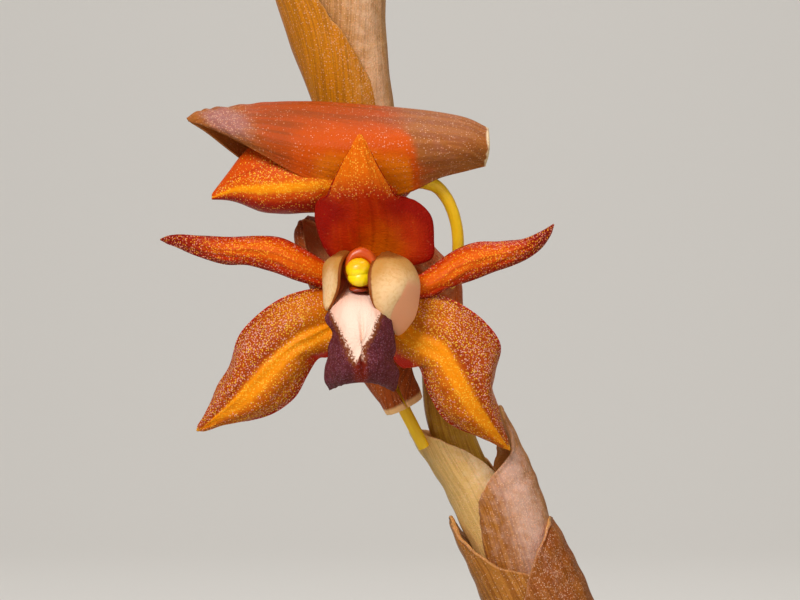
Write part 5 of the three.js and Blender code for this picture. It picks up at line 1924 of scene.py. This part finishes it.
LIP_LOBES = (
    LipLobe(
        "lip_side_lobe_left", "lip",
        stations=(
            ((350, 262, -0.8), (341, 254, 1.8), (350, 252, 3.8)),
            ((347, 270, -0.4), (327, 264, 2.6), (343, 261, 6)),
            ((345, 281, 0.8), (325, 278, 3.2), (340.5, 272, 7)),
            ((343, 292, 2.6), (326, 293, 4), (339, 287, 7)),
            ((341, 301, 4.4), (327, 304, 5), (334, 300, 6.6)),
            ((338, 308, 5.4), (330, 310, 5.6), (329, 309, 6.2)),
        ),
        fold=-0.1, amber=0.6,
    ),
    LipLobe(
        "lip_side_lobe_right", "lip",
        stations=(
            ((372, 262, -0.8), (387, 254, 1.6), (384, 255, 3), (379, 256, 3.8)),
            ((375, 270, -0.4), (406, 263, 2.4), (396, 263, 5.2), (372, 262, 6)),
            ((378, 281, 0.6), (415, 280, 2.8), (403, 277, 6.6), (368, 274, 7.4)),
            ((381, 293, 2), (415.5, 298, 3.2), (400, 291, 7), (369, 290, 8)),
            ((384, 305, 3.6), (412, 316, 3.6), (392, 305, 7), (372, 303, 7.6)),
            ((388, 317, 4.2), (402, 330, 4), (389, 316, 6.4), (379, 313, 6.9)),
            ((390, 327, 4.4), (394, 334, 4.2), (391, 325, 5.2), (387, 319, 5.8)),
        ),
    ),
)
BUD_BRACT = BudBract(
    "floral_bract_bud_skin", "floral_bract_bud",
    stations=(
        ((485, 166, -1.2), (488, 147, 0.2), (487, 131, -2.4), (484, 146, -5), (480, 164, -4.6)),
        ((466, 171, -0.4), (467, 145, 1.6), (466, 121, -2.4), (463, 145, -6.2), (460, 169, -5.2)),
        ((438, 178, -0.2), (438, 145, 2.4), (437, 115, -2.4), (436, 145, -6.8), (434, 174, -5.6)),
        ((405, 193, -0.2), (404, 146, 2.9), (403, 111, -2.4), (404, 146, -7.2), (405, 184, -5.9)),
        ((365, 196, 0.2), (363, 146, 3.1), (362, 107.5, -2.4), (363, 146, -7.3), (366, 188, -6)),
        ((328, 187, 1), (322, 143, 3), (318, 104.5, -2.4), (322, 145, -7.2), (326, 186, -6)),
        ((293, 172, 1.6), (283, 138, 2.6), (276, 104.8, -2.4), (282, 145, -6.8), (290, 182, -5.9)),
        ((263, 155, 1.6), (251, 132, 1.8), (241, 108, -2.4), (249, 140, -6), (258, 170, -5.6)),
        ((234, 139, 0.8), (224, 126, 0.6), (214, 111, -2.4), (222, 132, -5), (232, 152, -4.8)),
        ((207, 127, -0.6), (203, 121, -0.8), (199, 114.5, -2.4), (202, 123, -3.8), (207, 133, -3.8)),
        ((188.5, 120.5, -2), (188, 120, -2.1), (187, 119, -2.4), (188, 120, -2.7), (188.5, 121, -2.8)),
    ),
)
COLUMN_HOOD = Moulded(
    "column_hood",
    "column",
    (
        Rounded(
            (
                (364, 275, -1.2, 1.3, 1.5), (364, 272, 0.6, 1.45, 1.8), (363, 270, 2.4, 1.55, 2),
                (362, 269, 4, 1.7, 2.1), (361.5, 268, 5, 1.68, 2.05), (361, 267.2, 5.7, 1.5, 1.9),
                (360.6, 269, 5.95, 1.34, 1.55), (360, 271, 5.75, 1.2, 1.32), (359.6, 271.5, 5.0, 1.1, 1.2),
            ),
            gold=(0.9, 0.0),
            dark=(0.0, 0.3),
        ),
        # The shelf below the anther cap, dark all over: painted shadow where the column shades it from
        # above.
        Rounded(
            (
                (359, 286, 3.6, 0.7, 0.3), (359, 288, 4.6, 1.0, 0.36), (359, 289.5, 5.6, 0.9, 0.26),
                (359, 290.5, 6.0, 0.5, 0.12),
            ),
            gold=(0.0, 0.0),
            dark=(1.0, 0.9),
        ),
    ),
)
ANTHER_CAP = Moulded(
    "anther_cap_ball",
    "anther_cap",
    (
        Rounded(
            (
                (358.5, 269, 4.4, 0.6, 0.5), (358.5, 269, 4.9, 1.12, 0.98), (358.5, 269.2, 5.5, 1.25, 1.12),
                (358.5, 269.4, 6.0, 1.22, 1.05), (358.5, 269.8, 6.4, 1.0, 0.85), (358.5, 270, 6.7, 0.6, 0.5),
                (358.5, 270, 6.8, 0.2, 0.16),
            ),
            gold=(1.0, 0.35),
            # The darker top is painted shadow from the hood's rim.
            dark=(0.0, 0.15),
        ),
        # The tongue below the cap.
        Rounded(
            (
                (359.4, 276, 4.6, 0.5, 0.4), (359.4, 276.4, 5.3, 1.12, 0.92),
                (359.6, 277.2, 6.0, 1.14, 0.92), (360.2, 278.2, 6.4, 0.92, 0.76),
                (360.4, 279, 6.7, 0.5, 0.4), (360.4, 279.2, 6.78, 0.16, 0.12),
            ),
            gold=(1.2, 0.7),
            dark=(0.0, 0.0),
        ),
    ),
)
OPEN_STALK = Stalk(
    "pedicel_open_skin", "pedicel_open",
    knots=(
        (424, 447, -7.6, 0.6), (415, 430, -7.2, 0.62), (402, 404, -6.6, 0.65), (388, 366, -6, 0.8),
        (374, 325, -4.8, 1.15), (366, 298, -3.4, 1.3), (364, 288, -2.3, 1.25),
    ),
)
BUD_STALK = Stalk(
    "pedicel_bud_skin", "pedicel_bud",
    knots=(
        (449, 284, -8, 0.7), (456, 266, -6.6, 0.62), (458, 246, -5.4, 0.6), (456, 224, -4.4, 0.6),
        (449, 203, -3.4, 0.62), (438, 188, -2.8, 0.66), (425, 182, -2.4, 0.75), (417.5, 181, -2.4, 0.8),
    ),
)
SPIKE_STEM = Stalk(
    "spike_stem_skin", "spike_stem",
    measured=(
        (18, -2, 119.8, 1.9), (14.5, -4, 131, 1.55), (8.2, -7, 148, 1.5), (1.2, -9.6, 165, 1.6),
    ),
    knots=(
        (597, 740, -9.6, 1.8), (560, 662, -9.6, 2), (534, 600, -9.6, 2.1), (506, 545, -9.6, 2.1),
        (482, 498, -9.7, 2.1), (459, 450, -9.8, 2.1), (446, 410, -10, 2.2), (442, 350, -10.2, 2.2),
        (441, 302, -10.4, 2.25), (437, 283, -10.6, 2.3), (419, 259, -10.9, 2.05), (404, 234, -11.2, 1.9),
        (389, 203, -11.4, 1.75), (377, 160, -11.2, 1.6), (370, 115, -10.4, 1.35), (364, 60, -9.8, 1.2),
        (357, 0, -9.4, 1.1), (352, -60, -9.2, 0.9), (351, -110, -9.2, 0.7),
    ),
    rings=320, sides=28, warm=(0.1, 0.1, 0.1, 0.1, 0.9, 0.9, 0.6, 0.4),
    bloom_and_sheen=(0.2, 0.2, 0.2, 0.2, 0.3, 0.5, 0.4, 0.3),
)
BRACTS = (
    Rolled(
        "floral_bract_open_skin", "floral_bract_open",
        knots=(
            (404, 405, -6.6, 1.75), (394, 385, -6.2, 2), (377, 350, -6.2, 2.7), (352, 302, -6.2, 3),
            (329, 262, -6.2, 2.6), (312, 234, -6.2, 1.7), (303, 220, -6.2, 0.5),
        ),
        warm=0.5, bloom_and_sheen=0.3, torn_foot=True, front=(442, 438, 420, 390, 385, 400, 420),
        back=(86, 92, 108, 135, 135, 120, 105),
    ),
    Rolled(
        "floral_bract_tip_left_skin", "floral_bract_tip_left",
        knots=(
            (364, 142, -9.9, 2.4), (352, 105, -9.6, 3.3), (337, 50, -9.4, 4), (321, 0, -9.4, 4.2),
            (299, -60, -9.6, 3.5), (276, -124, -9.9, 1.8), (264, -158, -10, 0.4),
        ),
        warm=0.55, bloom_and_sheen=0.35, front=(340, 325, 305, 285, 265, 235, 200),
        back=(20, 40, 70, 95, 110, 135, 165),
    ),
    Rolled(
        "floral_bract_tip_right_skin", "floral_bract_tip_right",
        knots=(
            (371, 128, -9.8, 2.2), (366, 92, -9.4, 2.35), (356, 48, -9, 2.95), (346, 0, -8.8, 3.8),
            (341, -62, -8.8, 3.9), (348, -130, -8.9, 2.8), (355, -190, -9, 1.5), (359, -222, -9, 0.4),
        ),
        warm=0.25, bloom_and_sheen=0.6, scars=(0.286,), front=(170, 165, 165, 162, 150, 125, 90, 60),
        back=(-165, -150, -130, -110, -90, -70, -50, -30),
    ),
)
PALE_SHEATH = Rolled(
    "sheath_pale_skin", "sheath_pale",
    knots=(
        (508, 549, -9.7, 3), (490, 513, -9.7, 2.95), (474, 480, -9.8, 2.9), (457, 452, -9.9, 2.9),
        (443, 428, -9.9, 3), (436, 414, -9.9, 2.95),
    ),
    warm=0.0, bloom_and_sheen=0.5, fray=1.2, front=(330, 330, 322, 295, 250, 195), back=(20, 25, 45, 78, 120, 165),
)
BROWN_SHEATHS = (
    Rolled(
        "sheath_upper_right_skin", "sheath_upper_right",
        knots=(
            (528, 577, -9.6, 3.85), (513, 540, -9.5, 4), (504, 510, -9.4, 4), (498, 493, -9.4, 3.95),
            (493, 480, -9.4, 3.9), (486, 463, -9.5, 3.85), (477, 442, -9.6, 3.75), (467, 421, -9.8, 3.6),
        ),
        warm=0.3, bloom_and_sheen=0.8, fray=1.2, front=(150, 140, 130, 121, 100, 48, 26, 3),
        back=(-140, -130, -115, -105, -95, -75, -45, -5),
    ),
    Rolled(
        "sheath_upper_left_skin", "sheath_upper_left",
        knots=(
            (548, 628, -9.5, 4.7), (534, 598, -9.4, 4.7), (522, 572, -9.4, 4.65), (510, 546, -9.4, 4.55),
            (496, 518, -9.5, 4.4), (488, 500, -9.6, 4.2),
        ),
        warm=0.2, bloom_and_sheen=0.3, fray=1.8, front=(340, 335, 322, 262, 215, 186),
        back=(30, 45, 85, 125, 155, 178),
    ),
    Rolled(
        "sheath_lower_right_skin", "sheath_lower_right",
        knots=(
            (566, 672, -9.5, 5.1), (551, 638, -9.4, 5.3), (538, 607, -9.4, 5.3), (526, 580, -9.4, 5.2),
            (516, 556, -9.5, 5.05), (507, 538, -9.6, 4.8),
        ),
        warm=0.6, bloom_and_sheen=0.25, fray=1.2, front=(165, 150, 115, 90, 62, 10),
        back=(-160, -140, -115, -80, -45, -2),
    ),
    Rolled(
        "sheath_lower_left_skin", "sheath_lower_left",
        knots=(
            (592, 727, -9.5, 4.3), (580, 700, -9.5, 5.2), (568, 674, -9.4, 5.8), (556, 648, -9.4, 5.9),
            (546, 626, -9.5, 5.8), (540, 612, -9.6, 5.6),
        ),
        warm=0.4, bloom_and_sheen=0.2, fray=1.8, front=(340, 330, 310, 262, 215, 186),
        back=(20, 30, 50, 105, 150, 178),
    ),
)
FOOT_SHEATH = Rolled(
    "sheath_foot_skin", "sheath_foot",
    knots=(
        (612, 778, -9.5, 2.5), (602, 752, -9.5, 3.4), (591, 726, -9.4, 4.9), (580, 700, -9.4, 6.2),
        (570, 678, -9.5, 6.5), (563, 662, -9.6, 6.5),
    ),
    warm=0.2, bloom_and_sheen=0.2, fray=4.0, front=(165, 150, 120, 80, 40, 6), back=(-165, -150, -120, -80, -40, -4),
)


@dataclass(frozen=True)
class Assembly:
    """Pieces that belong together, each group with the finish that it shares."""

    parts: Parts = ()

    def build(self) -> None:
        """Makes each finish and builds its pieces."""
        for finish, pieces in self.parts:
            skin = finish.material()
            for piece in pieces:
                piece.build(skin)


@dataclass(frozen=True)
class OpenFlower(Assembly):
    """The open flower: three sepals, two petals, the lip, the stalks and the column."""

    parts: Parts = (
        (SEPAL_TISSUE, (DORSAL_SEPAL,)),
        (PETAL_TISSUE, PETALS),
        (LATERAL_TISSUE, LATERAL_SEPALS),
        (LIP_TISSUE, (LIP_FLOOR,)),
        (LOBE_TISSUE, LIP_LOBES),
        (STALK_TISSUE, (OPEN_STALK, BUD_STALK)),
        (HOOD_TISSUE, (COLUMN_HOOD,)),
        (CAP_TISSUE, (ANTHER_CAP,)),
    )


@dataclass(frozen=True)
class Spike(Assembly):
    """The bud, the bracts, the stem and the sheaths that overlap round it."""

    parts: Parts = (
        (BUD_TISSUE, (Bud(),)),
        (BRACT_SKIN, (BUD_BRACT,)),
        (OPEN_BRACT_SKIN, BRACTS[:1]),
        (TIP_LEFT_SKIN, BRACTS[1:2]),
        (TIP_RIGHT_SKIN, BRACTS[2:]),
        (SPIKE_SKIN, (SPIKE_STEM,)),
        (PALE_SHEATH_SKIN, (PALE_SHEATH,)),
        (BROWN_SHEATH_SKIN, BROWN_SHEATHS),
        (DRY_SHEATH, (FOOT_SHEATH,)),
    )


@dataclass(frozen=True)
class Clump(Assembly):
    """The leaves, bulbs, rhizome and husks."""

    parts: Parts = (
        (LEAF_SKIN, LEAVES),
        (BULB_SKIN, BULBS),
        (RHIZOME_SKIN, (Rhizome(),)),
        (DRY_SHEATH, HUSKS),
    )


@dataclass(frozen=True)
class Potting(Assembly):
    """The clay pot and the bark in it."""

    parts: Parts = ((TERRACOTTA, (Pot(),)), (ORCHID_BARK, (Medium(),)))


def main() -> None:
    """Builds every sub-assembly in order."""
    logging.basicConfig(level=logging.INFO, format="%(message)s")
    for assembly in (OpenFlower(), Spike(), Clump(), Potting(), Studio()):
        assembly.build()
        log.info("%s done", type(assembly).__name__)
    bpy.context.view_layer.update()


if __name__ == "__main__":
    main()
